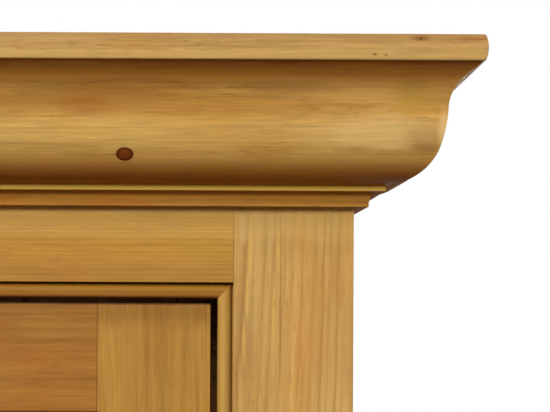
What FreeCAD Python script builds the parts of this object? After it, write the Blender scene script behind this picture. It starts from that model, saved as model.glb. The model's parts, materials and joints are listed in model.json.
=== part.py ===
import FreeCAD, Part
import Sketcher
import math
import os
import re

# China cabinet in pine: two tall glazed doors over two drawers, under a large crown cornice.
# Millimetres. +X is the cabinet's right as seen from the front, -Y its front, +Z up.
# The origin is on the floor, at the centre of the bounding box's base.

doc = FreeCAD.newDocument("china_cabinet")

# Driving sizes
sizes = {
    # Carcass
    "carcass_width": 1220,
    "carcass_depth": 400,
    "cabinet_height": 2080,
    "side_thickness": 20,
    "shelf_thickness": 20,
    "floor_thickness": 18,
    "housing_depth": 7,
    "back_thickness": 10,
    "back_rebate": 10,
    "fit_gap": 0.2,
    # Top board, whose edge bulges
    "cap_thickness": 19,
    "cap_overhang": 91.2,
    "cap_bulge": 2,
    "cap_housing": 6,
    # Crown moulding, out from the frame's face and up from its lower edge
    "crown_lip_reach": 22.6,
    "crown_lip_height": 4.9,
    "crown_belly_reach": 59.6,
    "crown_belly_height": 28.9,
    "crown_belly_radius": 41.5,
    "crown_waist_reach": 66.1,
    "crown_waist_height": 57.7,
    "crown_waist_radius": 89,
    "crown_cove_reach": 78.2,
    "crown_cove_height": 82.9,
    "crown_cove_radius": 32.6,
    "crown_reach": 89.4,
    "crown_height": 91.9,
    "crown_seat_height": 30,
    "crown_back_reach": 61,
    # Bed mould under the crown
    "bed_height": 11.3,
    "bed_low_reach": 10.7,
    "bed_top_reach": 15,
    "bed_hollow_radius": 14,
    # Face frame
    "frame_thickness": 22,
    "stile_width": 89,
    "top_rail_visible": 56.5,
    "waist_rail_height": 48,
    "waist_rail_low": 300,
    "bottom_rail_height": 60,
    "bottom_rail_low": 80,
    "mullion_width": 60,
    "tenon_length": 40,
    "tenon_thickness": 8,
    "tenon_shoulder": 10,
    "mullion_tenon": 18,
    # Bead round each door opening
    "bead_width": 12,
    "bead_quirk": 1.2,
    "bead_setback": 2,
    "bead_depth": 20,
    # Doors
    "door_thickness": 20,
    "door_setback": 1,
    "door_hinge_gap": 5,
    "door_side_gap": 3,
    "door_top_gap": 3.6,
    "door_bottom_gap": 3,
    "door_stile_width": 84,
    "door_top_rail_height": 84,
    "door_bottom_rail_height": 110,
    "door_tenon_length": 50,
    "door_tenon_thickness": 7,
    "door_tenon_shoulder": 12,
    "door_bevel": 4,
    "glass_thickness": 4,
    "glass_depth": 11.4,
    "glass_groove": 8,
    "glass_play": 0.8,
    "bar_width": 18,
    "bar_setback": 1,
    "bar_bevel": 4,
    "bar_tenon": 7,
    "bar_tenon_thickness": 5,
    "stop_width": 104,
    "stop_thickness": 12,
    "stop_lap": 30,
    # Hinges
    "hinge_height": 76,
    "hinge_inset": 110,
    "hinge_leaf_thickness": 1.8,
    "hinge_leaf_width": 20,
    "hinge_knuckle_radius": 3.6,
    "hinge_pin_radius": 1.6,
    "hinge_pin_clearance": 0.05,
    "hinge_clearance": 0.4,
    "hinge_tip_height": 3,
    "hinge_tip_radius": 3,
    # Knobs
    "knob_radius": 17,
    "knob_neck_radius": 8,
    "knob_foot_radius": 11,
    "knob_projection": 30,
    "knob_foot_height": 4,
    "knob_spigot_radius": 5,
    "knob_spigot_length": 12,
    "door_knob_level": 1060,
    # Drawers
    "drawer_gap": 2.5,
    "drawer_front_thickness": 20,
    "drawer_bevel": 4,
    "drawer_back_gap": 27,
    "drawer_board": 12,
    "drawer_height": 140,
    "drawer_side_inset": 1,
    "drawer_lap": 8,
    "drawer_bottom_thickness": 6,
    "drawer_bottom_rise": 12,
    "drawer_groove": 6,
    "drawer_housing": 4,
    "slide_clearance": 0.4,
    "floor_drop": 10,
    "runner_reach": 22,
    "runner_guide_height": 25,
    "runner_guide_width": 24,
    "runner_guide_gap": 0.6,
    "kicker_width": 40,
    "kicker_gap": 2,
    # Shelf pins
    "shelf_setback": 40,
    "shelf_end_gap": 0.6,
    "shelf_back_gap": 0.8,
    "pin_radius": 3,
    "pin_in": 10,
    "pin_out": 12,
    "pin_inset": 45,
    # Plinth
    "plinth_height": 110,
    "plinth_thickness": 18,
    "plinth_fillet": 3,
    "plinth_ovolo": 11,
    "plinth_foot": 150,
    "plinth_arch_height": 60,
    "plinth_arch_rise": 14,
    "plinth_arch_curl": 22,
    "plinth_arch_step": 6,
    # Tongued boards
    "tongue_length": 5,
    "tongue_thickness": 3.6,
    "board_vee": 2,
    # Every cut runs this far past the piece that it cuts
    "overrun": 5,
}
back_board_count = 9
knuckle_count = 5
light_row_count = 4
hinge_height_shares = (0, 0.5, 1)

# Places worked out from the sizes. The X of the left side's pieces is told without its sign.
places = {
    "half_width": "carcass_width / 2",
    "face_y": "(cap_overhang + cap_bulge - carcass_depth) / 2",
    "frame_back_y": "face_y + frame_thickness",
    "back_y": "face_y + carcass_depth",
    "back_front_y": "back_y - back_thickness",
    "cap_low": "cabinet_height - cap_thickness",
    "crown_low": "cap_low - crown_height",
    "bed_low": "crown_low - bed_height",
    "side_inner": "half_width - side_thickness",
    "frame_inner": "half_width - stile_width",
    "half_mullion": "mullion_width / 2",
    "drawer_low": "bottom_rail_low + bottom_rail_height",
    "floor_top": "drawer_low - floor_drop",
    "floor_low": "floor_top - floor_thickness",
    "deck_top": "waist_rail_low + waist_rail_height",
    "deck_low": "deck_top - shelf_thickness",
    "rail_low": "bed_low - top_rail_visible",
    "opening_outer": "frame_inner - bead_width",
    "opening_inner": "half_mullion + bead_width",
    "door_outer": "opening_outer - door_hinge_gap",
    "door_inner": "opening_inner + door_side_gap",
    "door_low": "deck_top + bead_width + door_bottom_gap",
    "door_top": "rail_low - bead_width - door_top_gap",
    "door_face_y": "face_y + door_setback",
    "door_back_y": "door_face_y + door_thickness",
    "light_outer": "door_outer - door_stile_width",
    "light_inner": "door_inner + door_stile_width",
    "light_middle": "(light_outer + light_inner) / 2",
    "light_low": "door_low + door_bottom_rail_height",
    "light_top": "door_top - door_top_rail_height",
    "row_pitch": "(light_top - light_low + bar_width) / %d" % light_row_count,
    "glass_y": "door_face_y + glass_depth",
    "pivot_x": "opening_outer - door_hinge_gap / 2",
    "pivot_y": "face_y - hinge_knuckle_radius - hinge_clearance",
    "drawer_outer": "frame_inner - drawer_gap",
    "drawer_inner": "half_mullion + drawer_gap",
    "drawer_middle": "(drawer_outer + drawer_inner) / 2",
    "drawer_side_outer": "drawer_outer - drawer_side_inset",
    "drawer_side_inner": "drawer_inner + drawer_side_inset",
    "drawer_front_low": "drawer_low + drawer_gap",
    "drawer_front_top": "waist_rail_low - drawer_gap",
    "drawer_box_top": "drawer_front_low + drawer_height",
    "drawer_face_y": "face_y + door_setback",
    "drawer_front_back_y": "drawer_face_y + drawer_front_thickness",
    "drawer_end_y": "back_front_y - drawer_back_gap",
    "runner_top": "drawer_front_low - slide_clearance",
    "shelf_front_y": "face_y + shelf_setback",
    "shelf_back_y": "back_front_y - shelf_back_gap",
}

sheet = doc.addObject("Spreadsheet::Sheet", "Sizes")
for row, (alias, value) in enumerate(sizes.items(), start=1):
    sheet.set("A%d" % row, alias)
    sheet.set("B%d" % row, str(value))
    sheet.setAlias("B%d" % row, alias)
doc.recompute()


# A formula of size and place names, written in the sheet's own words
def formula(text):
    def word(match):
        name = match.group(0)
        if name in places:
            return "(" + formula(places[name]) + ")"
        return "Sizes." + name if name in sizes else name
    return re.sub(r"[a-z][a-z_]+", word, str(text))


def value_of(text):
    return float(sheet.evalExpression(formula(text)))


subparts = {}


def sub_part(node, item):
    item.Label = node
    subparts[node] = item
    return item


def bind(item, **settings):
    for name, text in settings.items():
        item.setExpression(name.replace("__", "."), formula(text))
    return item


def put(item, x=0, y=0, z=0):
    return bind(item, Placement__Base__x=x, Placement__Base__y=y, Placement__Base__z=z)


# A rectangular block between low and high X, Y and Z
def block(name, x, y, z):
    item = doc.addObject("Part::Box", name)
    bind(item, Length="(%s) - (%s)" % (x[1], x[0]), Width="(%s) - (%s)" % (y[1], y[0]),
         Height="(%s) - (%s)" % (z[1], z[0]))
    return put(item, x[0], y[0], z[0])


# A round bar from its base point along +X, +Y or +Z
def rod(name, radius, length, x, y, z, along="z"):
    item = doc.addObject("Part::Cylinder", name)
    bind(item, Radius=radius, Height=length)
    quarter_turns = {"x": FreeCAD.Vector(0, 1, 0), "y": FreeCAD.Vector(-1, 0, 0)}
    if along in quarter_turns:
        item.Placement.Rotation = FreeCAD.Rotation(quarter_turns[along], 90)
    return put(item, x, y, z)


# A block whose front and back rectangles differ, between two Y planes
def taper(name, y, front_x, front_z, back_x, back_z):
    item = doc.addObject("Part::Wedge", name)
    return bind(item, Ymin=y[0], Ymax=y[1],
                Xmin=front_x[0], Xmax=front_x[1], Zmin=front_z[0], Zmax=front_z[1],
                X2min=back_x[0], X2max=back_x[1], Z2min=back_z[0], Z2max=back_z[1])


def joined(name, items):
    item = doc.addObject("Part::MultiFuse", name)
    item.Shapes = items
    return item


def group(name, items):
    item = doc.addObject("Part::Compound", name)
    item.Links = items
    return item


def cut(name, base, tools):
    item = doc.addObject("Part::Cut", name)
    item.Base = base
    item.Tool = tools[0] if len(tools) == 1 else joined(name + "_cuts", tools)
    return item


def swap_sides(node):
    swap = {"left": "right", "right": "left"}
    return "_".join(swap.get(word, word) for word in node.split("_"))


# The same piece on the other side of the cabinet
def mirrored(node):
    item = doc.addObject("Part::Mirroring", "mirror_of_" + node)
    item.Source = subparts[node]
    item.Base = FreeCAD.Vector(0, 0, 0)
    item.Normal = FreeCAD.Vector(1, 0, 0)
    return sub_part(swap_sides(node), item)


def plane(body, role):
    return [item for item in body.Origin.OriginFeatures if item.Role == role][0]


# Centre of the short arc from start to end, turning left or right as it goes
def arc_centre(start, end, radius, turn):
    chord = end - start
    rise = math.sqrt(max(radius ** 2 - (chord.Length / 2) ** 2, 0))
    left = FreeCAD.Vector(-chord.y, chord.x, 0).normalize()
    return (start + end) * 0.5 + left * rise * turn


# A sketch of closed loops. A point is (across, up), or (across, up, radius, turn) where the
# stretch that ends there is an arc, turning left (1) or right (-1).
def outline(body, role, name, loops):
    sketch = body.newObject("Sketcher::SketchObject", name)
    sketch.AttachmentSupport = (plane(body, role), "")
    sketch.MapMode = "FlatFace"
    first = 0
    for points in loops:
        spots = [FreeCAD.Vector(value_of(p[0]), value_of(p[1]), 0) for p in points]
        ends = [add_stretch(sketch, spots[i], spots[(i + 1) % len(points)],
                            points[(i + 1) % len(points)]) for i in range(len(points))]
        for i, point in enumerate(points):
            after = (i + 1) % len(points)
            sketch.addConstraint(Sketcher.Constraint(
                "Coincident", first + i, ends[i][1], first + after, ends[after][0]))
            fix(sketch, "DistanceX", point[0], -1, 1, first + i, ends[i][0])
            fix(sketch, "DistanceY", point[1], -1, 1, first + i, ends[i][0])
            if len(points[after]) > 2:
                fix(sketch, "Radius", points[after][2], first + i)
        first += len(points)
    return sketch


# One line or arc of a sketch; it gives back which of its ends are its start and its end
def add_stretch(sketch, start, end, target):
    if len(target) == 2:
        sketch.addGeometry(Part.LineSegment(start, end), False)
        return 1, 2
    turn = target[3]
    centre = arc_centre(start, end, value_of(target[2]), turn)
    angles = [math.atan2(spot.y - centre.y, spot.x - centre.x) for spot in (start, end)][::turn]
    circle = Part.Circle(centre, FreeCAD.Vector(0, 0, 1), (start - centre).Length)
    sketch.addGeometry(Part.ArcOfCircle(circle, angles[0], angles[1]), False)
    return (1, 2)[::turn]


def fix(sketch, kind, text, *where):
    number = sketch.addConstraint(Sketcher.Constraint(kind, *where, value_of(text)))
    sketch.setExpression("Constraints[%d]" % number, formula(text))


# A body padded from outlines along their plane's normal
def extrude(name, role, loops, length, both_ways=False):
    body = doc.addObject("PartDesign::Body", name)
    profile = outline(body, role, name + "_outline", loops)
    pad = body.newObject("PartDesign::Pad", name + "_pad")
    pad.Profile = profile
    pad.Midplane = both_ways
    bind(pad, Length=length)
    body.Tip = pad
    return body


# Cut outlines right through a body, both ways from the plane
def trim(body, role, name, loops):
    profile = outline(body, role, name + "_outline", loops)
    pocket = body.newObject("PartDesign::Pocket", name)
    pocket.Profile = profile
    pocket.Type = "ThroughAll"
    pocket.Midplane = True
    body.Tip = pocket
    return body


# Mouldings that wrap the front and both sides, mitred at the front corners. A profile is a
# list of (out, up) points; out is flipped, so its arcs turn the other way.
def flipped(profile, out):
    return [(out % point[0], point[1]) + (() if len(point) == 2 else (point[2], -point[3]))
            for point in profile]


def moulding_front(name, profile, reach, low):
    body = extrude(name, "YZ_Plane", [flipped(profile, "-(%s)")],
                   "carcass_width + 2 * %s" % reach, both_ways=True)
    far = "(%s + overrun)" % reach
    trim(body, "XY_Plane", name + "_mitres", [
        [(sign + "half_width", "0"), (sign + "(half_width + %s)" % far, "-" + far),
         (sign + "(half_width + %s)" % far, "0")] for sign in ("", "-")])
    return put(body, 0, "face_y", low)


def moulding_return(name, profile, reach, low):
    body = extrude(name, "XZ_Plane", [flipped(profile, "-half_width - (%s)")],
                   "carcass_depth + %s" % reach)
    far = "(%s + overrun)" % reach
    trim(body, "XY_Plane", name + "_mitre", [[
        ("-half_width", "-carcass_depth"),
        ("-half_width - " + far, "-carcass_depth - " + far),
        ("-half_width", "-carcass_depth - " + far)]])
    return put(body, 0, "back_y", low)


# Cornice: a wide crown moulding over a small bed mould
crown = [
    ("0", "0"),
    ("crown_lip_reach", "0"),
    ("crown_lip_reach", "crown_lip_height"),
    ("crown_belly_reach", "crown_belly_height", "crown_belly_radius", 1),
    ("crown_waist_reach", "crown_waist_height", "crown_waist_radius", 1),
    ("crown_cove_reach", "crown_cove_height", "crown_cove_radius", -1),
    ("crown_reach", "crown_height"),
    ("crown_back_reach", "crown_height"),
    ("0", "crown_seat_height"),
]
bed = [
    ("0", "0"),
    ("bed_low_reach", "0"),
    ("bed_top_reach", "bed_height", "bed_hollow_radius", -1),
    ("0", "bed_height"),
]
sub_part("crown_front", moulding_front("crown", crown, "crown_reach", "crown_low"))
sub_part("crown_left_return", moulding_return("crown_left", crown, "crown_reach", "crown_low"))
mirrored("crown_left_return")
sub_part("bed_mould_front", moulding_front("bed_mould", bed, "bed_top_reach", "bed_low"))
sub_part("bed_mould_left", moulding_return("bed_left", bed, "bed_top_reach", "bed_low"))
mirrored("bed_mould_left")

# Plinth: a skirting with a rounded top, and a bracket-foot cut-out along its front
plinth = [
    ("0", "0"),
    ("plinth_thickness", "0"),
    ("plinth_thickness", "plinth_height - plinth_ovolo"),
    ("plinth_thickness - plinth_fillet", "plinth_height - plinth_ovolo"),
    ("plinth_thickness - plinth_fillet - plinth_ovolo", "plinth_height", "plinth_ovolo", 1),
    ("0", "plinth_height"),
]
places["arch_side"] = "half_width + plinth_thickness - plinth_foot"
places["arch_curl_top"] = "plinth_arch_rise + plinth_arch_curl"
places["arch_round"] = "plinth_arch_height - arch_curl_top"
arch_half = [
    ("arch_side", "-overrun"),
    ("arch_side", "plinth_arch_rise"),
    ("arch_side - plinth_arch_curl", "arch_curl_top", "plinth_arch_curl", 1),
    ("arch_side - plinth_arch_curl - plinth_arch_step", "arch_curl_top"),
    ("arch_side - plinth_arch_curl - plinth_arch_step - arch_round", "plinth_arch_height",
     "arch_round", -1),
]
# The left half runs the other way, so each arc is told at its other end, where it turns alike
arch_left = [("-(%s)" % point[0], point[1]) for point in reversed(arch_half)]
arch_left[1] += ("arch_round", -1)
arch_left[3] += ("plinth_arch_curl", 1)
plinth_front = moulding_front("plinth", plinth, "plinth_thickness", "0")
sub_part("plinth_front", trim(plinth_front, "XZ_Plane", "plinth_arch", [arch_half + arch_left]))
sub_part("plinth_left", moulding_return("plinth_side", plinth, "plinth_thickness", "0"))
mirrored("plinth_left")

# Carcass boards
side_blank = block("side_blank", ("-half_width", "-side_inner"), ("frame_back_y", "back_y"),
                   ("0", "cap_low + cap_housing"))
housed = "side_inner + housing_depth"
sub_part("cabinet_floor", block("cabinet_floor", ("-(%s)" % housed, housed),
                                ("frame_back_y", "back_front_y"), ("floor_low", "floor_top")))
sub_part("drawer_deck", block("drawer_deck", ("-(%s)" % housed, housed),
                              ("frame_back_y", "back_front_y"), ("deck_low", "deck_top")))
rebate = block("back_rebate", ("-side_inner - back_rebate", "-side_inner"),
               ("back_front_y", "back_y"), ("floor_low", "cap_low"))

# Top board: housed over the sides, with a bulging edge at the front and both ends
cap_radius = "(cap_thickness * cap_thickness / 4 + cap_bulge * cap_bulge) / (2 * cap_bulge)"
places["cap_side"] = "half_width + cap_overhang"
places["cap_front"] = "carcass_depth + cap_overhang"
top_blank = extrude("top_blank", "XZ_Plane", [[
    ("-cap_side", "0", cap_radius, 1),
    ("cap_side", "0"),
    ("cap_side", "cap_thickness", cap_radius, 1),
    ("-cap_side", "cap_thickness"),
]], "cap_front + cap_bulge")
trim(top_blank, "YZ_Plane", "cap_front_edge", [[
    ("-cap_front", "0"),
    ("-cap_front", "cap_thickness", cap_radius, -1),
    ("-cap_front - cap_bulge - overrun", "cap_thickness"),
    ("-cap_front - cap_bulge - overrun", "0"),
]])
put(top_blank, 0, "back_y", "cap_low")
side_housings = [
    block(name, x, ("frame_back_y", "back_y"), ("cap_low", "cap_low + cap_housing"))
    for name, x in (("left_housing", ("-half_width", "-side_inner")),
                    ("right_housing", ("side_inner", "half_width")))]
sub_part("top_board", cut("top_board", top_blank, side_housings))

# Back: upright boards, tongued together, with a vee at each joint
places["board_pitch"] = "2 * (side_inner + back_rebate) / %d" % back_board_count
places["tongue_front"] = "(back_thickness - tongue_thickness) / 2"
places["tongue_back"] = "(back_thickness + tongue_thickness) / 2"
places["tongue_end"] = "board_pitch + tongue_length - fit_gap"
places["groove_front"] = "tongue_front - fit_gap"
places["groove_back"] = "tongue_back + fit_gap"


def back_board(number):
    groove = [("0", "groove_back"), ("tongue_length", "groove_back"),
              ("tongue_length", "groove_front"), ("0", "groove_front")] if number else []
    last = number == back_board_count - 1
    edge = "board_pitch" if last else "board_pitch - fit_gap"
    tongue = [] if last else [(edge, "tongue_front"), ("tongue_end", "tongue_front"),
                              ("tongue_end", "tongue_back"), (edge, "tongue_back")]
    board = extrude("back_board_%d" % (number + 1), "XY_Plane", [
        [("0", "board_vee"), ("board_vee", "0"), (edge + " - board_vee", "0"), (edge, "board_vee")]
        + tongue + [(edge, "back_thickness"), ("0", "back_thickness")] + groove],
        "cap_low - floor_low")
    return put(board, "%d * board_pitch - side_inner - back_rebate" % number, "back_front_y",
               "floor_low")


sub_part("back_boards", group("back_boards", [back_board(n) for n in range(back_board_count)]))


# Face frame: rails tenoned into the stiles, mullions tenoned into the rails
frame_y = ("face_y", "frame_back_y")
tenon_y = ("face_y + (frame_thickness - tenon_thickness) / 2",
           "face_y + (frame_thickness + tenon_thickness) / 2")


def frame_rail(name, low, high):
    tenons = block(name + "_tenons", ("-frame_inner - tenon_length", "frame_inner + tenon_length"),
                   tenon_y, (low + " + tenon_shoulder", high + " - tenon_shoulder"))
    rail = block(name + "_blank", ("-frame_inner", "frame_inner"), frame_y, (low, high))
    return joined(name + "_whole", [rail, tenons]), tenons


def frame_mullion(name, low, high):
    tenons = block(name + "_tenons", ("tenon_shoulder - half_mullion",
                                      "half_mullion - tenon_shoulder"),
                   tenon_y, (low + " - mullion_tenon", high + " + mullion_tenon"))
    mullion = block(name + "_blank", ("-half_mullion", "half_mullion"), frame_y, (low, high))
    sub_part(name, joined(name, [mullion, tenons]))
    return tenons


top_rail, top_tenons = frame_rail("top_rail", "rail_low", "cap_low")
waist_rail, waist_tenons = frame_rail("waist_rail", "waist_rail_low", "deck_top")
bottom_rail, bottom_tenons = frame_rail("bottom_rail", "bottom_rail_low", "drawer_low")
door_mullion_tenons = frame_mullion("door_mullion", "deck_top", "rail_low")
drawer_mullion_tenons = frame_mullion("drawer_mullion", "drawer_low", "waist_rail_low")
sub_part("top_rail", cut("top_rail", top_rail, [door_mullion_tenons]))
sub_part("waist_rail", cut("waist_rail", waist_rail,
                           [door_mullion_tenons, drawer_mullion_tenons]))
sub_part("bottom_rail", cut("bottom_rail", bottom_rail, [drawer_mullion_tenons]))
stile_blank = block("stile_blank", ("-half_width", "-frame_inner"), frame_y, ("0", "cap_low"))
sub_part("left_stile", cut("left_stile", stile_blank, [top_tenons, waist_tenons, bottom_tenons]))
mirrored("left_stile")

# Bead round the left door opening: four strips with a round nose beside a quirk, mitred
places["nose_radius"] = "(bead_width - bead_quirk) / 2"
places["nose_foot"] = "bead_setback + nose_radius"
places["opening_height"] = "rail_low - deck_top"
places["opening_width"] = "frame_inner - half_mullion"
places["mitre_reach"] = "bead_width + overrun"


# The strip's section, from the frame's edge inwards and from the face back
def bead_section(inwards, turn, swapped=False):
    points = [
        ("0", "nose_foot"),
        ("bead_quirk", "nose_foot"),
        ("bead_quirk + nose_radius", "bead_setback", "nose_radius", turn),
        ("bead_width", "nose_foot", "nose_radius", turn),
        ("bead_width", "bead_depth"),
        ("0", "bead_depth"),
    ]
    placed = [(inwards % point[0],) + point[1:] for point in points]
    return [(p[1], p[0]) + p[2:] for p in placed] if swapped else placed


def bead_upright(name, edge, sign):
    strip = extrude(name, "XY_Plane", [bead_section("%s %s (%%s)" % (edge, sign),
                                                    1 if sign == "+" else -1)], "opening_height")
    far = "%s %s mitre_reach" % (edge, sign)
    trim(strip, "XZ_Plane", name + "_mitres", [
        [(edge, "0"), (far, "mitre_reach"), (far, "0")],
        [(edge, "opening_height"), (far, "opening_height - mitre_reach"),
         (far, "opening_height")]])
    return put(strip, 0, "face_y", "deck_top")


def bead_level(name, edge, sign):
    strip = extrude(name, "YZ_Plane", [bead_section("%s %s (%%s)" % (edge, sign),
                                                    -1 if sign == "+" else 1, True)],
                    "opening_width")
    far = "%s %s mitre_reach" % (edge, sign)
    trim(strip, "XZ_Plane", name + "_mitres", [
        [("0", edge), ("mitre_reach", far), ("0", far)],
        [("opening_width", edge), ("opening_width - mitre_reach", far), ("opening_width", far)]])
    return put(strip, "-frame_inner", "face_y", "deck_top")


sub_part("left_door_bead", group("left_door_bead", [
    bead_upright("bead_hinge_side", "-frame_inner", "+"),
    bead_upright("bead_mullion_side", "-half_mullion", "-"),
    bead_level("bead_foot", "0", "+"),
    bead_level("bead_head", "opening_height", "-")]))
mirrored("left_door_bead")

# Shelves, level with the glazing bars, on pins in the sides
shelf_names = ("lower_shelf", "middle_shelf", "upper_shelf")
shelf_middles = ["light_low - bar_width / 2 + %d * row_pitch" % row
                 for row in range(1, light_row_count)]
shelf_end = "side_inner - shelf_end_gap"
left_pins, right_pins = [], []
for name, middle in zip(shelf_names, shelf_middles):
    low = "%s - shelf_thickness / 2" % middle
    sub_part(name, block(name, ("-(%s)" % shelf_end, shelf_end), ("shelf_front_y", "shelf_back_y"),
                         (low, "%s + shelf_thickness / 2" % middle)))
    for place, y in (("front", "shelf_front_y + pin_inset"), ("back", "shelf_back_y - pin_inset")):
        left_pins.append(rod("%s_left_%s_pin" % (name, place), "pin_radius", "pin_in + pin_out",
                             "-side_inner - pin_in", y, low + " - pin_radius", "x"))
        right_pins.append(rod("%s_right_%s_pin" % (name, place), "pin_radius", "pin_in + pin_out",
                              "side_inner - pin_out", y, low + " - pin_radius", "x"))
sub_part("shelf_pins", group("shelf_pins", left_pins + right_pins))

sub_part("left_side", cut("left_side", side_blank, [
    subparts["cabinet_floor"], subparts["drawer_deck"], rebate] + left_pins))
mirrored("left_side")

sub_part("door_stop", block("door_stop", ("-stop_width / 2", "stop_width / 2"),
                            ("frame_back_y", "frame_back_y + stop_thickness"),
                            ("deck_top", "rail_low + stop_lap")))

# Drawer runners with their guides, and the kickers that keep an open drawer level
places["guide_outer"] = "drawer_side_outer + runner_guide_gap"
places["guide_top"] = "runner_top + runner_guide_height"
places["runner_depth"] = "back_front_y - frame_back_y"
runner_back = {"y": "back_front_y", "z": "0"}
side_runner = [extrude("side_runner", "XZ_Plane", [[
    ("-side_inner", "floor_top"),
    ("runner_reach - drawer_side_outer", "floor_top"),
    ("runner_reach - drawer_side_outer", "runner_top"),
    ("-guide_outer", "runner_top"),
    ("-guide_outer", "guide_top"),
    ("-guide_outer - runner_guide_width", "guide_top"),
    ("-guide_outer - runner_guide_width", "runner_top"),
    ("-side_inner", "runner_top"),
]], "runner_depth")]
put(side_runner[0], **runner_back)
middle_edge = "drawer_side_inner + runner_reach"
middle_guide = "drawer_side_inner - runner_guide_gap"
middle_runner = put(extrude("middle_runner", "XZ_Plane", [[
    ("-(%s)" % middle_edge, "floor_top"),
    (middle_edge, "floor_top"),
    (middle_edge, "runner_top"),
    (middle_guide, "runner_top"),
    (middle_guide, "guide_top"),
    ("-(%s)" % middle_guide, "guide_top"),
    ("-(%s)" % middle_guide, "runner_top"),
    ("-(%s)" % middle_edge, "runner_top"),
]], "runner_depth"), **runner_back)
kicker_z = ("drawer_box_top + kicker_gap", "deck_low")
kicker_y = ("frame_back_y", "back_front_y")
side_runner.append(block("side_kicker", ("-drawer_side_outer", "kicker_width - drawer_side_outer"),
                         kicker_y, kicker_z))
middle_kicker = block("middle_kicker", ("-drawer_side_inner - kicker_width",
                                        "drawer_side_inner + kicker_width"), kicker_y, kicker_z)
far_runners = []
for item in side_runner:
    twin = doc.addObject("Part::Mirroring", "far_" + item.Name)
    twin.Source = item
    twin.Normal = FreeCAD.Vector(1, 0, 0)
    far_runners.append(twin)
sub_part("drawer_runners", group("drawer_runners", side_runner + far_runners
                                 + [middle_runner, middle_kicker]))


# A turned knob with a spigot, revolved about Y; points are (radius, depth from the face)
neck_share = 0.36
rim_share = 0.66
places["knob_neck_out"] = "knob_projection * %g" % neck_share
places["knob_rim_out"] = "knob_projection * %g" % rim_share
places["knob_dome"] = "knob_projection - knob_rim_out"
dome_radius = "(knob_radius * knob_radius + knob_dome * knob_dome) / (2 * knob_dome)"
flare_radius = "knob_rim_out - knob_neck_out"


def knob(node, x, y, z):
    body = doc.addObject("PartDesign::Body", node)
    profile = outline(body, "XY_Plane", node + "_outline", [[
        ("0", "knob_spigot_length"),
        ("0", "-knob_projection"),
        ("knob_radius", "-knob_rim_out", dome_radius, 1),
        ("knob_neck_radius", "-knob_neck_out", flare_radius + " + knob_neck_radius", -1),
        ("knob_foot_radius", "-knob_foot_height"),
        ("knob_foot_radius", "0"),
        ("knob_spigot_radius", "0"),
        ("knob_spigot_radius", "knob_spigot_length"),
    ]])
    turned = body.newObject("PartDesign::Revolution", node + "_turned")
    turned.Profile = profile
    turned.ReferenceAxis = (profile, ["V_Axis"])
    turned.Angle = 360
    body.Tip = turned
    sub_part(node, put(body, x, y, z))
    return rod(node + "_hole", "knob_spigot_radius", "knob_spigot_length", x, y, z, "y")


# Left door: its frame is tenoned; the glass sits in a groove behind the glazing bars
door_y = ("door_face_y", "door_back_y")
door_tenon_y = ("door_face_y + (door_thickness - door_tenon_thickness) / 2",
                "door_face_y + (door_thickness + door_tenon_thickness) / 2")


def door_rail(name, low, high):
    tenons = block(name + "_tenons", ("-light_outer - door_tenon_length",
                                      "door_tenon_length - light_inner"),
                   door_tenon_y, (low + " + door_tenon_shoulder", high + " - door_tenon_shoulder"))
    rail = block(name + "_blank", ("-light_outer", "-light_inner"), door_y, (low, high))
    return joined(name + "_whole", [rail, tenons]), tenons


door_head, head_tenons = door_rail("door_head", "light_top", "door_top")
door_foot, foot_tenons = door_rail("door_foot", "door_low", "light_low")
glass_slot = block("glass_slot", ("-light_outer - glass_groove", "glass_groove - light_inner"),
                   ("glass_y - fit_gap", "glass_y + glass_thickness + fit_gap"),
                   ("light_low - glass_groove", "light_top + glass_groove"))
sight_bevel = taper(
    "sight_bevel", ("door_face_y", "door_face_y + door_bevel"),
    ("-light_outer - door_bevel", "door_bevel - light_inner"),
    ("light_low - door_bevel", "light_top + door_bevel"),
    ("-light_outer", "-light_inner"), ("light_low", "light_top"))
sub_part("left_door_glass", block(
    "left_door_glass",
    ("glass_play - light_outer - glass_groove", "glass_groove - light_inner - glass_play"),
    ("glass_y", "glass_y + glass_thickness"),
    ("light_low - glass_groove", "light_top + glass_groove - glass_play")))

places["half_bar"] = "bar_width / 2"
places["bar_front_y"] = "door_face_y + bar_setback"
places["bar_back_y"] = "glass_y - fit_gap"
places["bar_depth"] = "bar_back_y - bar_front_y"
bar_section = [
    ("-half_bar", "bar_depth"),
    ("-half_bar", "bar_bevel"),
    ("bar_bevel - half_bar", "0"),
    ("half_bar - bar_bevel", "0"),
    ("half_bar", "bar_bevel"),
    ("half_bar", "bar_depth"),
]
bar_tenon_y = ("bar_back_y - bar_tenon_thickness", "bar_back_y")
tall_bar = put(extrude("tall_bar", "XY_Plane", [bar_section], "light_top - light_low"),
               "-light_middle", "bar_front_y", "light_low")
tall_tenons = block("tall_bar_tenons", ("bar_bevel - half_bar - light_middle",
                                        "half_bar - bar_bevel - light_middle"),
                    bar_tenon_y, ("light_low - bar_tenon", "light_top + bar_tenon"))
bars = [joined("tall_bar_whole", [tall_bar, tall_tenons])]
row_tenons = {"hinge": [], "meeting": []}
for row in range(1, light_row_count):
    middle = "light_low - half_bar + %d * row_pitch" % row
    for side, x, tenon_x in (
            ("hinge", ("-light_outer", "-light_middle - half_bar"),
             ("-light_outer - bar_tenon", "-light_middle - half_bar")),
            ("meeting", ("half_bar - light_middle", "-light_inner"),
             ("half_bar - light_middle", "bar_tenon - light_inner"))):
        name = "%s_bar_%d" % (side, row)
        bar = extrude(name, "YZ_Plane", [[(p[1], p[0]) for p in bar_section]],
                      "(%s) - (%s)" % (x[1], x[0]))
        put(bar, x[0], "bar_front_y", middle)
        tenon = block(name + "_tenon", tenon_x, bar_tenon_y,
                      (middle + " + bar_bevel - half_bar", middle + " + half_bar - bar_bevel"))
        row_tenons[side].append(tenon)
        bars.append(joined(name + "_whole", [bar, tenon]))
sub_part("left_door_glazing_bars", group("left_door_glazing_bars", bars))

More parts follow.
